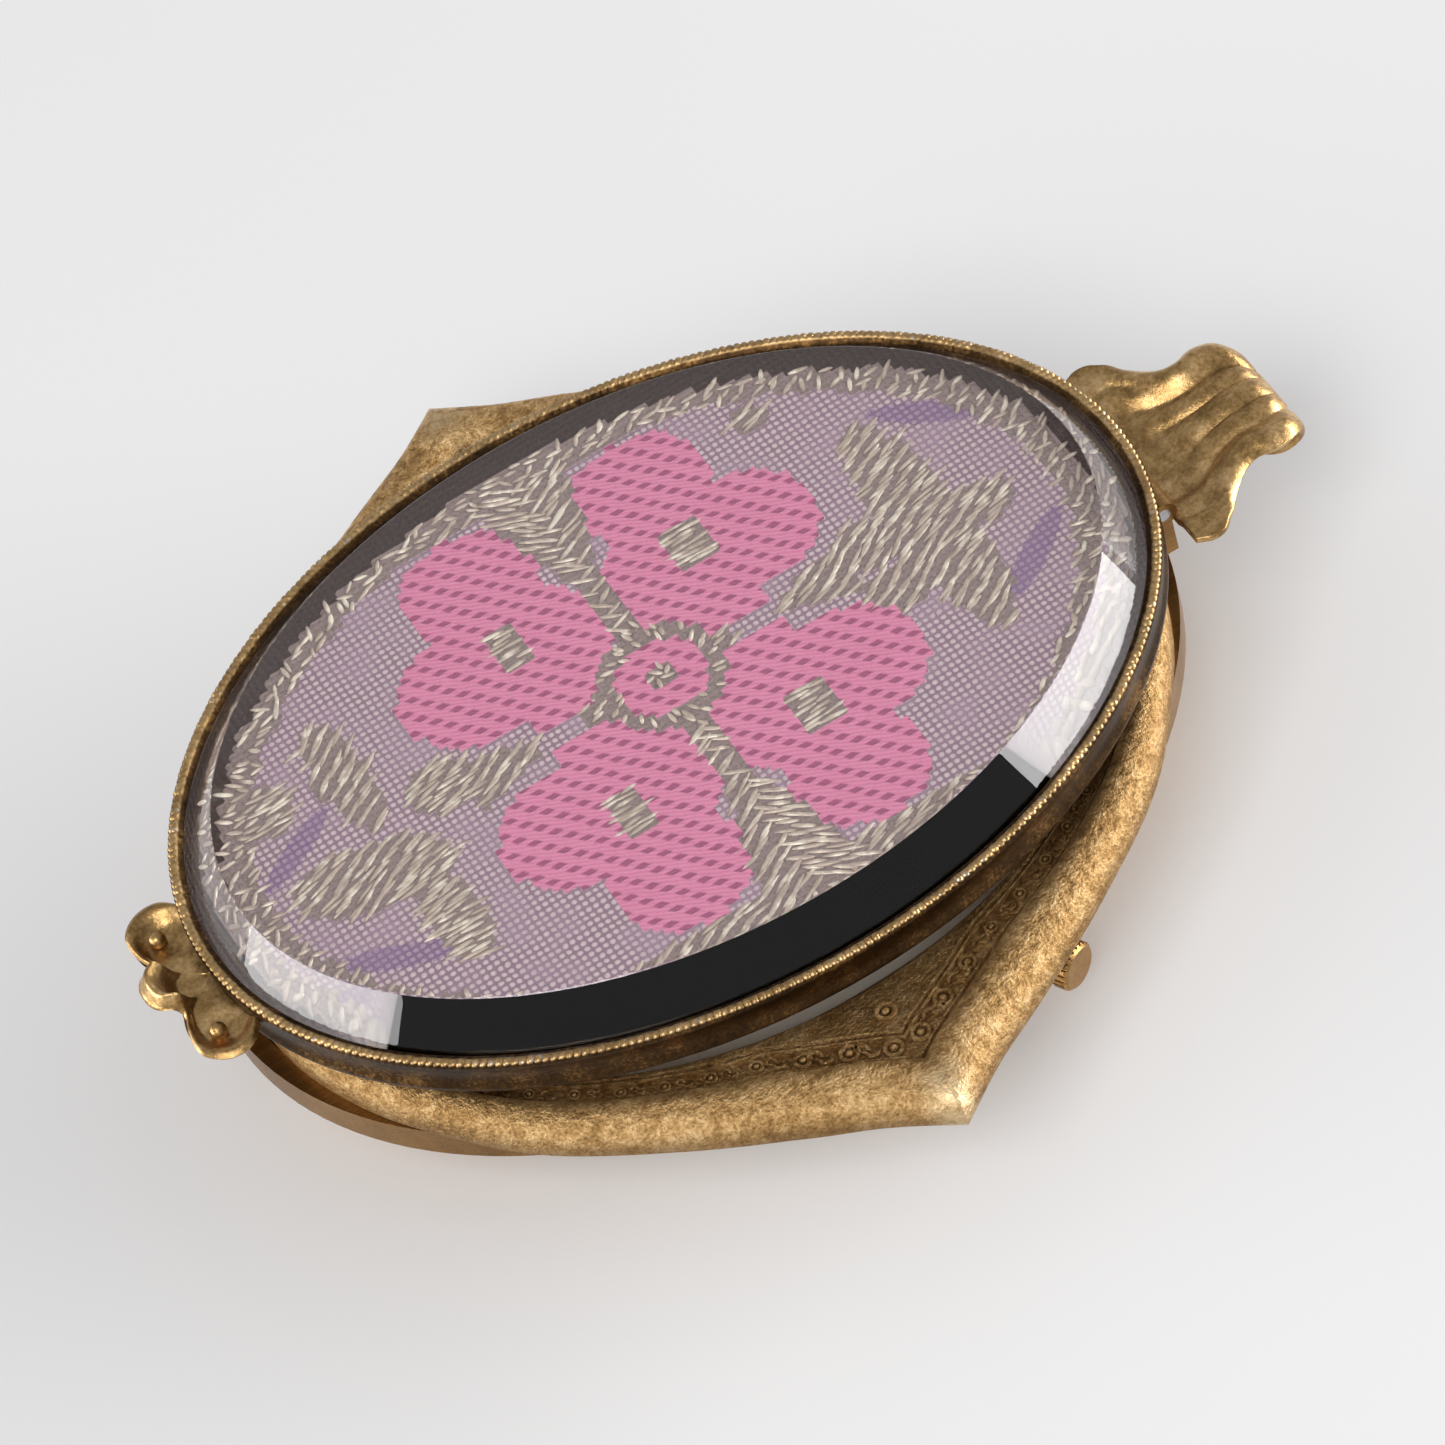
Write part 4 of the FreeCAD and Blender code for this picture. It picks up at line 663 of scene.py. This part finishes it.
def woven_kind(x, y):
    """What is woven at a place: petal, metal or ground; under the bevel, an edge painted dark as shadow.
    """
    x, y = (math.floor(part / STITCH) * STITCH + STITCH / 2 for part in (x, y))
    flat_x, flat_y = COVER_X - FLAT_INSET, COVER_Y - FLAT_INSET
    out = math.hypot(x / flat_x, y / flat_y)
    # beyond the flat of the glass the cloth lies under the bevel and is painted dark as shadow
    if out > 1.0:
        return "stained"
    if out > 0.93:
        return "metal"
    across, up = abs(x - FLOWER[0]), abs(y - FLOWER[1])
    middle = math.hypot(across, up)
    if middle < 0.5 or 1.8 < middle < 2.55:
        return "metal"
    if middle <= 1.8:
        return "petal"
    stem = 0.5 + 1.1 * smooth_share(5.5, 10.5, up)
    if across < stem or (abs(across - BUD_X) < 0.75 and abs(up - BUD_Y) < 1.05):
        return "metal"
    if up < 0.45 and across < 5.3 and middle > 2.5:
        return "metal" if across < 3.4 else "ground"
    if any(math.hypot(across - centre, up - level) < reach for centre, level, reach in PETAL_ROUNDS):
        return "petal"
    if any(in_oval(x, y, *sprig) for sprig in SPRIGS) or up > 11.2:
        return "metal"
    if 5.3 < across < 8.4 and up < 0.25 + (across - 5.3) * 0.35:
        return "metal"
    return "ground"


def build_cloth():
    """The silk: a stitch-square cloth cut to the oval, with the flower a little raised."""
    half_x, half_y = CLOTH_HIGH.x, CLOTH_HIGH.y
    columns, rows = math.ceil(half_x / STITCH * 2) * 2, math.ceil(half_y / STITCH * 2) * 2
    reach_x, reach_y = columns * STITCH / 4, rows * STITCH / 4
    cloth = patch(columns, rows,
                  lambda across, along: ((2 * across - 1) * reach_x, (2 * along - 1) * reach_y, 0))
    only(cloth)
    bpy.ops.object.mode_set(mode="EDIT")
    pick(cloth, lambda middle: math.hypot(middle.x / half_x, middle.y / half_y) > 0.995)
    bpy.ops.mesh.delete(type="FACE")
    bpy.ops.mesh.select_all(action="SELECT")
    bpy.ops.mesh.region_to_loop()
    object_mode()
    edge = {vertex.index for vertex in cloth.data.vertices if vertex.select}
    top = CLOTH_HIGH.z - CLOTH_DROP
    for vertex in cloth.data.vertices:
        x, y, _ = vertex.co / MM
        if vertex.index in edge:
            out = math.hypot(x / half_x, y / half_y)
            x, y = x / out, y / out
        kind = woven_kind(x, y)
        raised = {"petal": 0.05, "ground": 0.015}.get(kind, 0.0)
        ripple = math.sin(math.pi * x / STITCH) * math.sin(math.pi * y / STITCH)
        vertex.co = Vector((x, y, top + raised + 0.006 * ripple)) * MM
    mark = cloth.data.color_attributes.new("weave", "FLOAT_COLOR", "POINT")
    for vertex, colour in zip(cloth.data.vertices, mark.data):
        x, y, _ = vertex.co / MM
        kind = woven_kind(x, y)
        vein = any(in_oval(x, y, *place) for place in VEINS)
        # blue is half on a vein and full on the edge painted dark as shadow
        blue = 1.0 if kind == "stained" else 0.5 * vein
        colour.color = (kind == "petal", kind in ("metal", "stained"), blue, 1)
    modify(cloth, "SOLIDIFY", thickness=CLOTH_THICKNESS * MM, offset=-1)
    give(cloth, "brocade", "cover", BROCADE, ["brocade_panel"], 60)


def thread_lean(x, y):
    """How the floats lie at a place, in degrees from 12 o'clock's direction."""
    dx, dy = x - FLOWER[0], y - FLOWER[1]
    if math.hypot(dx, dy) < FLOWER_HEART:
        return math.degrees(math.atan2(dy, dx)) + 24
    if abs(dx) < 2.2:
        return -32 if dx * dy < 0 else 28
    if x < -8:
        return 18 + 7 * math.sin(x * 0.9) + 3.5 * (y - 1) * (-1 if x < -13 else 1)
    return 24 + 8 * math.sin(x * 0.8 + y * 0.5)


def build_floats():
    """The metal thread that lies in short arched floats over the silk."""
    thread = begin("uv_sphere", segments=8, ring_count=5, radius=MM)
    bpy.ops.transform.rotate(value=math.pi / 2, orient_axis="Y", center_override=(0, 0, 0))
    widen(0.62, 0.105, 0.07)
    object_mode()
    only(thread)
    chance = random.Random(11)
    places = []
    half_x, half_y = COVER_X - 0.95, COVER_Y - 0.95
    rows, columns = round(half_y * 2 / FLOAT_ROW), round(half_x * 2 / FLOAT_STEP)
    for row in range(rows):
        for column in range(columns):
            x = -half_x + (column + (row % 3) / 3 + chance.uniform(0, 0.35)) * FLOAT_STEP
            y = -half_y + (row + chance.uniform(0.2, 0.8)) * FLOAT_ROW
            lean = math.radians(thread_lean(x, y) + chance.uniform(-9, 9))
            long = chance.uniform(0.75, 1.25)
            if math.hypot(x / (half_x - 0.3), y / (half_y - 0.3)) > 1 or woven_kind(x, y) != "metal":
                continue
            if abs(abs(x - FLOWER[0]) - BUD_X) < 1 and abs(abs(y - FLOWER[1]) - BUD_Y) < 1.2:
                lean = math.radians(chance.uniform(-6, 6))
            if math.hypot(x - FLOWER[0], y - FLOWER[1]) < FLOWER_HEART:
                long *= 0.5
            elif math.hypot(x / (COVER_X - FLAT_INSET), y / (COVER_Y - FLAT_INSET)) > 0.92:
                long, lean = long * 0.6, lean + math.radians(chance.choice((-38, -12, 10, 30)))
            level = CLOTH_HIGH.z - CLOTH_DROP + chance.uniform(0, 0.008)
            size = (long, chance.uniform(0.85, 1.15), chance.uniform(0.8, 1.0), 1)
            places.append(Matrix.Translation((x, y, level)) @ Matrix.Rotation(lean, 4, "Z")
                          @ Matrix.Diagonal(size))
    copies(thread, places)
    give(thread, "metal_floats", "cover", METAL_THREAD, (), 60)


# ---------------------------------------------------------------- the stamped frame

FRAME_FLOOR, FRAME_PLATE, FRAME_CREST = mm_box("ogee_frame")[0].z, 7.8, 8.9
OPENING_X, OPENING_Y = 17.0, 14.1
# a quarter of the outline, from the side to the point
QUARTER = ((19.6, 0), (19.3, 3.5), (18.2, 6.6), (16.6, 9.2), (13.6, 12.8), (9.2, 16.0), (5.1, 18.4),
           (2.4, 19.85), (0, 21.5))
QUARTER_STEPS = 170
# the ornamented band, the step from one ornament to the next, and the depth of the whole border
BAND_INSET, BAND_STEP = 3.27, 1.75
# the ornaments are set out only beyond this share of an oval, where the band has room for them
BAND_OVAL, BAND_OPEN = (19.3, 16.2), 0.9
ROOM_INSET = 4.35


def outline_line():
    """The outline and its inward directions; at the point the two halves meet in a mitre."""
    steps = 400
    line = [along_line(((19.3, -3.5),) + QUARTER, (1 + 8 * step / steps) / 9)
            for step in range(steps + 1)]
    ways = []
    for step in range(steps + 1):
        before, after = line[max(0, step - 1)], line[min(steps, step + 1)]
        run = math.dist(before, after)
        ways.append(((before[1] - after[1]) / run, (after[0] - before[0]) / run))
    ways[0] = (-1.0, 0.0)
    rim = [(OPENING_X * math.cos(turn), OPENING_Y * math.sin(turn))
           for turn in (math.pi / 2 * step / 180 for step in range(181))]
    squeeze = [min(1.0, min(math.dist(point, spot) for spot in rim) / ROOM_INSET) for point in line]
    return line, ways, squeeze


OUTLINE, INWARD, SQUEEZE = outline_line()


def spread(line, count):
    """The same line with its points the same distance apart."""
    walk = [0.0]
    for before, after in zip(line, line[1:]):
        walk.append(walk[-1] + math.dist(before, after))
    even, at = [], 0
    for step in range(count + 1):
        goal = walk[-1] * step / count
        while at < len(walk) - 2 and walk[at + 1] < goal:
            at += 1
        part = (goal - walk[at]) / max(1e-9, walk[at + 1] - walk[at])
        even.append(tuple(a + part * (b - a) for a, b in zip(line[at], line[at + 1])))
    return even


def quarter_row(inset, count=QUARTER_STEPS):
    """A quarter of the line that runs inside the outline, from the side to the mitre."""
    row = []
    for point, way, narrow in zip(OUTLINE, INWARD, SQUEEZE):
        x, y = (part + step * inset * narrow for part, step in zip(point, way))
        if x <= 0:
            if row:
                last_x, last_y = row[-1]
                row.append((0.0, last_y + (y - last_y) * last_x / (last_x - x)))
            break
        row.append((x, max(0.0, y)))
    return spread(row, count)


def opening_row(inset, count=QUARTER_STEPS):
    """A quarter of an oval just outside the opening."""
    return spread([((OPENING_X + inset) * math.cos(turn), (OPENING_Y + inset) * math.sin(turn))
                   for turn in (math.pi / 2 * step / 400 for step in range(401))], count)


def ring_of(quarter):
    """Four mirrored quarters, once round without a doubled point."""
    left = [(-x, y) for x, y in reversed(quarter[:-1])]
    below = [(-x, -y) for x, y in quarter[1:]]
    right = [(x, -y) for x, y in reversed(quarter[1:-1])]
    return quarter + left + below + right


def build_frame():
    """The ogee frame: a domed sanded border, a band between ruled lines, and a flat to the opening."""
    floor, plate, crest = FRAME_FLOOR, FRAME_PLATE, FRAME_CREST
    # (inset from the outline, height, how sandy)
    profile = [(0.34, floor, 0), (0.13, floor + 0.03, 0), (0.03, floor + 0.15, 0.2),
               (0.0, plate - 0.14, 0.5), (0.03, plate + 0.14, 0.8), (0.12, plate + 0.42, 1),
               (0.28, plate + 0.68, 1), (0.52, plate + 0.88, 1), (0.84, crest - 0.07, 1),
               (1.2, crest - 0.01, 1), (1.52, crest, 1), (1.85, crest - 0.07, 1),
               (2.13, crest - 0.22, 1), (2.36, crest - 0.46, 1), (2.5, plate + 0.32, 0.6),
               (2.57, plate + 0.04, 0), (2.63, plate - 0.04, 0), (2.7, plate, 0),
               (2.75, plate + 0.15, 0), (2.84, plate + 0.15, 0),
               (2.9, plate, 0), (3.1, plate + 0.02, 0.3), (3.4, plate + 0.02, 0.3), (3.62, plate, 0),
               (3.68, plate + 0.2, 0), (3.77, plate + 0.2, 0), (3.83, plate, 0), (3.9, plate, 0),
               (3.96, plate + 0.18, 0), (4.04, plate + 0.18, 0), (4.1, plate, 0)]
    rows = [(ring_of(quarter_row(inset)), level, sand) for inset, level, sand in profile]
    for inset, level in ((0.12, plate + 0.03), (0.0, plate - 0.04), (0.0, floor + 0.04), (0.05, floor)):
        rows.append((ring_of(opening_row(inset)), level, 0))
    rows.append(rows[0])
    around = len(rows[0][0])

    def place(across, along):
        row, level, sand = rows[round(across * (len(rows) - 1))]
        x, y = row[round(along * around) % around]
        pebble = grain_at(x, y, 1.0, 3.1) * 0.6 + grain_at(x, y, 7.0, 6.5) * 0.5
        dent = grain_at(x, y, 3.0, 0.45)
        level += sand * (0.03 * pebble + 0.05 * dent)
        bulge = 1 - 0.0022 * sand * (0.5 + dent)
        return x * bulge, y * bulge, min(level, crest + 0.035)
    ring = patch(len(rows) - 1, around, place)
    weld(ring)
    give(ring, "stamped_frame", "case", SANDED, ["ogee_frame"], 60)


def band_places(start, step):
    """Places along the band of one quarter, from the mitre, with the band's direction."""
    line = list(reversed(quarter_row(BAND_INSET, 300)))
    found, walk, goal = [], 0.0, start
    for before, after in zip(line, line[1:]):
        walk += math.dist(before, after)
        if walk >= goal:
            found.append((*after, math.atan2(after[1] - before[1], after[0] - before[0])))
            goal += step
    return found


def build_scrolls():
    """The band's ornament: a rosette and a scroll, each modelled once and set out along it."""
    level = FRAME_PLATE + 0.08
    rosette = begin("torus", major_segments=14, minor_segments=6,
                    major_radius=0.34 * MM, minor_radius=0.12 * MM)
    bpy.ops.mesh.primitive_uv_sphere_add(segments=8, ring_count=5, radius=0.18 * MM)
    object_mode()
    scroll = begin("torus", major_segments=16, minor_segments=6,
                   major_radius=0.3 * MM, minor_radius=0.12 * MM)
    pick(scroll, lambda middle: middle.y < 0)
    bpy.ops.transform.translate(value=(0.5 * MM, 0, 0))
    bpy.ops.mesh.select_all(action="SELECT")
    widen(0.85, 1)
    object_mode()
    quarters = [(side_x, side_y) for side_x in (1, -1) for side_y in (1, -1)]

    def set_out(start):
        """Places from a start on, smaller where the band narrows and none where it closes."""
        places = []
        for side_x, side_y in quarters:
            for x, y, turn in band_places(start, BAND_STEP):
                room = math.hypot(x / BAND_OVAL[0], y / BAND_OVAL[1])
                if room < BAND_OPEN:
                    continue
                heading = math.atan2(side_y * math.sin(turn), side_x * math.cos(turn))
                places.append(Matrix.Translation((side_x * x, side_y * y, level))
                              @ Matrix.Rotation(heading, 4, "Z")
                              @ Matrix.Scale(min(1.0, 0.45 + (room - BAND_OPEN) * 6), 4))
        return places
    inner_pair = [Matrix.Translation((0, side * 15.5, level)) for side in (1, -1)]
    copies(rosette, set_out(0.62) + inner_pair)
    copies(scroll, set_out(1.5))
    ornament = joined([rosette, scroll])
    give(ornament, "band_scrolls", "case", SANDED, (), 60)


# ---------------------------------------------------------------- the leaf and the thumb-piece

# the roll's axis, its inner radius and how many degrees it turns under
ROLL_X, ROLL_Z, ROLL_OUT, ROLL_SWEEP = 26.0, 8.2, 1.0, 235
LEAF_THICKNESS, THUMB_THICKNESS = 0.32, 0.26
# centre line of the leaf before its roll (x, z) and, evenly along the whole leaf, its half width
LEAF_RISE = ((20.6, 8.4), (21.6, 8.4), (22.7, 8.52), (23.9, 8.88), (25.0, 9.14))
LEAF_EDGE = (5.0, 5.3, 5.1, 4.1, 3.2, 2.9, 3.1, 3.0, 2.6, 2.2, 1.9, 1.6, 1.1, 0.5)
LEAF_RISE_SHARE = 0.52


def leaf_middle(share):
    """The leaf's centre line (x, z) and its outward direction, led over and under the roll."""
    if share < LEAF_RISE_SHARE:
        rise, part = LEAF_RISE + ((ROLL_X, ROLL_Z + ROLL_OUT),), share / LEAF_RISE_SHARE
        x, z = along_line(rise, part)
        ahead_x, ahead_z = along_line(rise, min(1.0, part + 0.01))
        if part > 0.99:
            return x, z, 0.0, 1.0
        run = math.hypot(ahead_x - x, ahead_z - z)
        return x, z, -(ahead_z - z) / run, (ahead_x - x) / run
    turn = math.radians(90 - ROLL_SWEEP * (share - LEAF_RISE_SHARE) / (1 - LEAF_RISE_SHARE))
    out_x, out_z = math.cos(turn), math.sin(turn)
    return ROLL_X + ROLL_OUT * out_x, ROLL_Z + ROLL_OUT * out_z, out_x, out_z


def at_share(values, share):
    """A smooth line through evenly spaced values."""
    return along_line([(value,) for value in values], share)[0]


def build_leaf():
    """The acanthus leaf: dished, fluted from the root, its tip rolled under."""
    def place(across, along):
        side = 2 * across - 1
        x, z, out_x, out_z = leaf_middle(along)
        half = at_share(LEAF_EDGE, along)
        edge = abs(side)
        y = side * half
        flat = 1 - smooth_share(0.34, 0.6, along)
        dish = 0.042 * y * y * flat
        # flutes that start together at the root and lean outward toward the leaflets
        lean = edge * (1 - 0.3 * smooth_share(0.0, 0.4, along)) + 0.12 * along
        flute = 0.1 * math.cos(lean * 2 * math.pi * 3.4) * smooth_share(0.08, 0.3, edge)
        flute *= 1 - smooth_share(0.82, 0.98, edge)
        rib = 0.16 * math.exp(-(y / 0.4) ** 2) * (0.3 + 0.7 * smooth_share(0.16, 0.34, along))
        rolled = 0.2 * smooth_share(0.7, 0.88, edge) - 0.5 * smooth_share(0.88, 1.0, edge)
        lift = dish + flute + rib + rolled * (0.35 + 0.65 * flat) + 0.06 * grain_at(x, y, 2.0, 0.5)
        lift = min(lift, 0.02 + 0.7 * (1 - smooth_share(0.4, 0.62, along)))
        return x + out_x * (lift - 0.03), y, z + out_z * (lift - 0.03)
    leaf = patch(64, 110, place)
    modify(leaf, "SOLIDIFY", thickness=LEAF_THICKNESS * MM, offset=-1)
    modify(leaf, "SUBSURF", levels=1, render_levels=1)
    weld(leaf)
    give(leaf, "acanthus_leaf", "case", LEAF_GILT, ["leaf_bail"], 60)


# reach of the thumb-piece's edge from its root, evenly from straight out to the side
THUMB_EDGE = (2.72, 2.7, 2.58, 2.3, 2.25, 3.05, 3.85, 4.2, 4.28, 4.1, 3.5)
THUMB_X, THUMB_Z, THUMB_SWEEP, THUMB_END = -20.4, 10.72, 98, -23.19
# the hollow of a side lobe, and the bead that sits in it
HOLLOW_X, HOLLOW_Y = -21.35, 2.65
BEAD_X, BEAD_Y, BEAD_Z, BEAD_RADIUS = -21.36, 2.62, 10.82, 0.36


def build_thumb_piece():
    """Three lobes on one dished leaf: the side ones with a bead in each, the middle one curled up."""
    def place(across, along):
        turn = THUMB_SWEEP * (2 * across - 1)
        reach = at_share(THUMB_EDGE, abs(turn) / THUMB_SWEEP) * along
        x, y = THUMB_X - reach * math.cos(math.radians(turn)), reach * math.sin(math.radians(turn))
        in_middle = 1 - smooth_share(28, 42, abs(turn))
        rim = smooth_share(0.72, 0.93, along) - 0.5 * smooth_share(0.94, 1.0, along)
        from_bead = math.hypot(x - HOLLOW_X, abs(y) - HOLLOW_Y)
        lift = (1 - in_middle) * (0.34 * rim + 0.16 * smooth_share(0.5, 1.3, from_bead) - 0.12)
        curl = 1.3 * smooth_share(0.48, 0.84, along) - 0.6 * smooth_share(0.84, 1.0, along)
        lift += in_middle * curl
        lift += 0.1 * math.exp(-(y / 0.35) ** 2) * along * in_middle
        return max(x, THUMB_END), y, THUMB_Z + lift
    leaf = patch(160, 44, place)
    modify(leaf, "SOLIDIFY", thickness=THUMB_THICKNESS * MM, offset=-1)
    weld(leaf)
    lobes = [leaf]
    for side in (1, -1):
        bead = begin("uv_sphere", segments=24, ring_count=14, radius=BEAD_RADIUS * MM,
                     location=(BEAD_X * MM, side * BEAD_Y * MM, BEAD_Z * MM))
        object_mode()
        lobes.append(bead)
    piece = joined(lobes)
    give(piece, "leaf_thumb_piece", "cover", LEAF_GILT, ["thumb_piece"], 60)


# ---------------------------------------------------------------- the dial's marks

# how far inside the dial's edge the numerals (x, y) and the minute ring stand
NUMERAL_INSET, TICK_INSET = (5.4, 4.9), 3.2
NUMERAL_SIZE, MARK_DEPTH, MARK_LIFT = 3.0, 0.012, 0.006


def build_dial_marks():
    """Numerals and a minute ring, set into the enamel."""
    half_x, half_y, dial_top = mm_box("dial")[1]
    parts = []
    object_mode()
    for hour in range(1, 13):
        bpy.ops.object.select_all(action="DESELECT")
        bpy.ops.object.text_add()
        text = bpy.context.object
        text.data.body, text.data.size = str(hour), NUMERAL_SIZE * MM
        text.data.align_x, text.data.align_y = "CENTER", "CENTER"
        text.data.extrude, text.data.resolution_u = MARK_DEPTH * MM, 4
        bpy.ops.object.convert(target="MESH")
        turn = -math.pi / 6 * hour
        text.rotation_euler = (0, 0, -math.pi / 2)
        text.location = Vector((math.cos(turn) * (half_x - NUMERAL_INSET[0]),
                                math.sin(turn) * (half_y - NUMERAL_INSET[1]), dial_top + MARK_LIFT)) * MM
        bpy.ops.object.transform_apply(location=True, rotation=True, scale=True)
        parts.append(text)
    tick = begin("cube", size=MM, location=(0, 0, 0))
    widen(0.85, 0.14, 0.022)
    bpy.ops.mesh.bevel(offset=0.004 * MM, segments=1, affect="EDGES")
    object_mode()
    places = []
    for minute in range(60):
        turn = math.pi / 30 * minute
        long, wide = (1.3, 1.8) if minute % 5 == 0 else (0.8, 1.0)
        outward = math.atan2(math.sin(turn) * half_x, math.cos(turn) * half_y)
        places.append(Matrix.Translation((math.cos(turn) * (half_x - TICK_INSET),
                                          math.sin(turn) * (half_y - TICK_INSET), dial_top + MARK_LIFT))
                      @ Matrix.Rotation(outward, 4, "Z") @ Matrix.Diagonal((long, wide, 1, 1)))
    copies(tick, places)
    parts.append(tick)
    marks = joined(parts)
    give(marks, "dial_marks", "case", DIAL_BLACK, (), 30)


# ---------------------------------------------------------------- what shows of the CAD pieces


def dress(material, names):
    for name in names.split():
        slots = nodes[name].data.materials
        slots.clear()
        slots.append(material)


SANDED = sanded_gilt()
LEAF_GILT = leaf_gilt()
RIM = milled_gilt()
BROCADE = brocade_silk()
METAL_THREAD = metal_thread()
DIAL_BLACK = dial_black()
TURNED = turned_gilt()
BRASS = frosted_brass()
STEEL = brushed_steel()
BLUED = blued_steel()
GLASS = clear_glass()

dress(SANDED, "ogee_frame leaf_bail thumb_piece")
dress(TURNED, """case_back case_band cover_bezel cover_knuckle hinge_lugs cover_catch case_tube crown
    cover_plate""")
dress(BRASS, """main_plate barrel_bridge train_bridge balance_cock pallet_cock movement_ring
    crystal_ring barrel_drum barrel_lid centre_wheel third_wheel fourth_wheel balance_wheel
    minute_wheel hour_wheel""")
dress(STEEL, """hinge_pin winding_stem winding_pinion crown_wheel ratchet_wheel barrel_arbor
    crown_wheel_screw click click_screw click_spring centre_pinion third_pinion fourth_pinion
    escape_pinion escape_wheel pallet_fork balance_staff cannon_pinion regulator""")
dress(BLUED, "bridge_screws case_screws hairspring mainspring hour_hand minute_hand")
dress(fired_enamel(), "dial")
dress(ruby(), "jewels pallet_stones")
dress(backing_card(), "brocade_card brocade_panel")
dress(GLASS, "cover_glass crystal")


# ---------------------------------------------------------------- camera, lamps and floor

LAMP_AIM = Vector((0, 0, 0.01))


def build_camera():
    """A long lens above the six o'clock side, rolled as the watch was looked at."""
    lens = bpy.data.cameras.new("view")
    lens.lens, lens.sensor_width = 174.4, 36.0
    lens.clip_start, lens.clip_end = 0.01, 20.0
    camera = bpy.data.objects.new("view", lens)
    bpy.context.scene.collection.objects.link(camera)
    turn, rise, roll = (math.radians(angle) for angle in (-15.07, 51.16, -18.55))
    back = Vector((math.sin(turn) * math.cos(rise), -math.cos(turn) * math.cos(rise), math.sin(rise)))
    level = Vector((math.cos(turn), math.sin(turn), 0))
    upward = back.cross(level)
    right = level * math.cos(roll) + upward * math.sin(roll)
    camera.matrix_world = Matrix((right, back.cross(right), back)).transposed().to_4x4()
    camera.location = Vector((-42.33, -163.71, 218.67)) * MM
    bpy.context.scene.camera = camera


def build_lamp(name, place, size, power):
    """A soft box that faces the watch."""
    lamp = bpy.data.lights.new(name, "AREA")
    lamp.shape, lamp.energy = "RECTANGLE", power
    lamp.size, lamp.size_y = size
    item = bpy.data.objects.new(name, lamp)
    bpy.context.scene.collection.objects.link(item)
    item.location = Vector(place)
    item.rotation_euler = (Vector(place) - LAMP_AIM).to_track_quat("Z", "Y").to_euler()


def build_stage():
    """A wide pale floor under the watch and an even, dim room."""
    bpy.ops.object.select_all(action="DESELECT")
    bpy.ops.mesh.primitive_plane_add(size=8.0, location=(0, 0, 0))
    floor = bpy.context.object
    floor.name = "floor"
    finish = Finish("pale_floor")
    finish.set(Base_Color=(0.78, 0.78, 0.78), Roughness=0.9)
    floor.data.materials.append(finish.material)
    world = bpy.data.worlds.new("room")
    world.use_nodes = True
    room = world.node_tree.nodes["Background"].inputs
    room["Color"].default_value = (0.9, 0.9, 0.92, 1)
    room["Strength"].default_value = 0.45
    bpy.context.scene.world = world


build_camera()
build_stage()
build_lamp("right_softbox", (0.39, -0.095, 0.088), (0.5, 0.16), 2.4)
build_lamp("left_softbox", (-0.443, 0.078, 0.085), (0.52, 0.16), 1.6)
build_lamp("overhead", (-0.26, -0.30, 0.5), (0.3, 0.3), 1.8)

build_rim()
build_cover_glass()
build_cloth()
build_floats()
build_frame()
build_scrolls()
build_leaf()
build_thumb_piece()
build_dial_marks()

bpy.context.scene.view_settings.view_transform = "Standard"
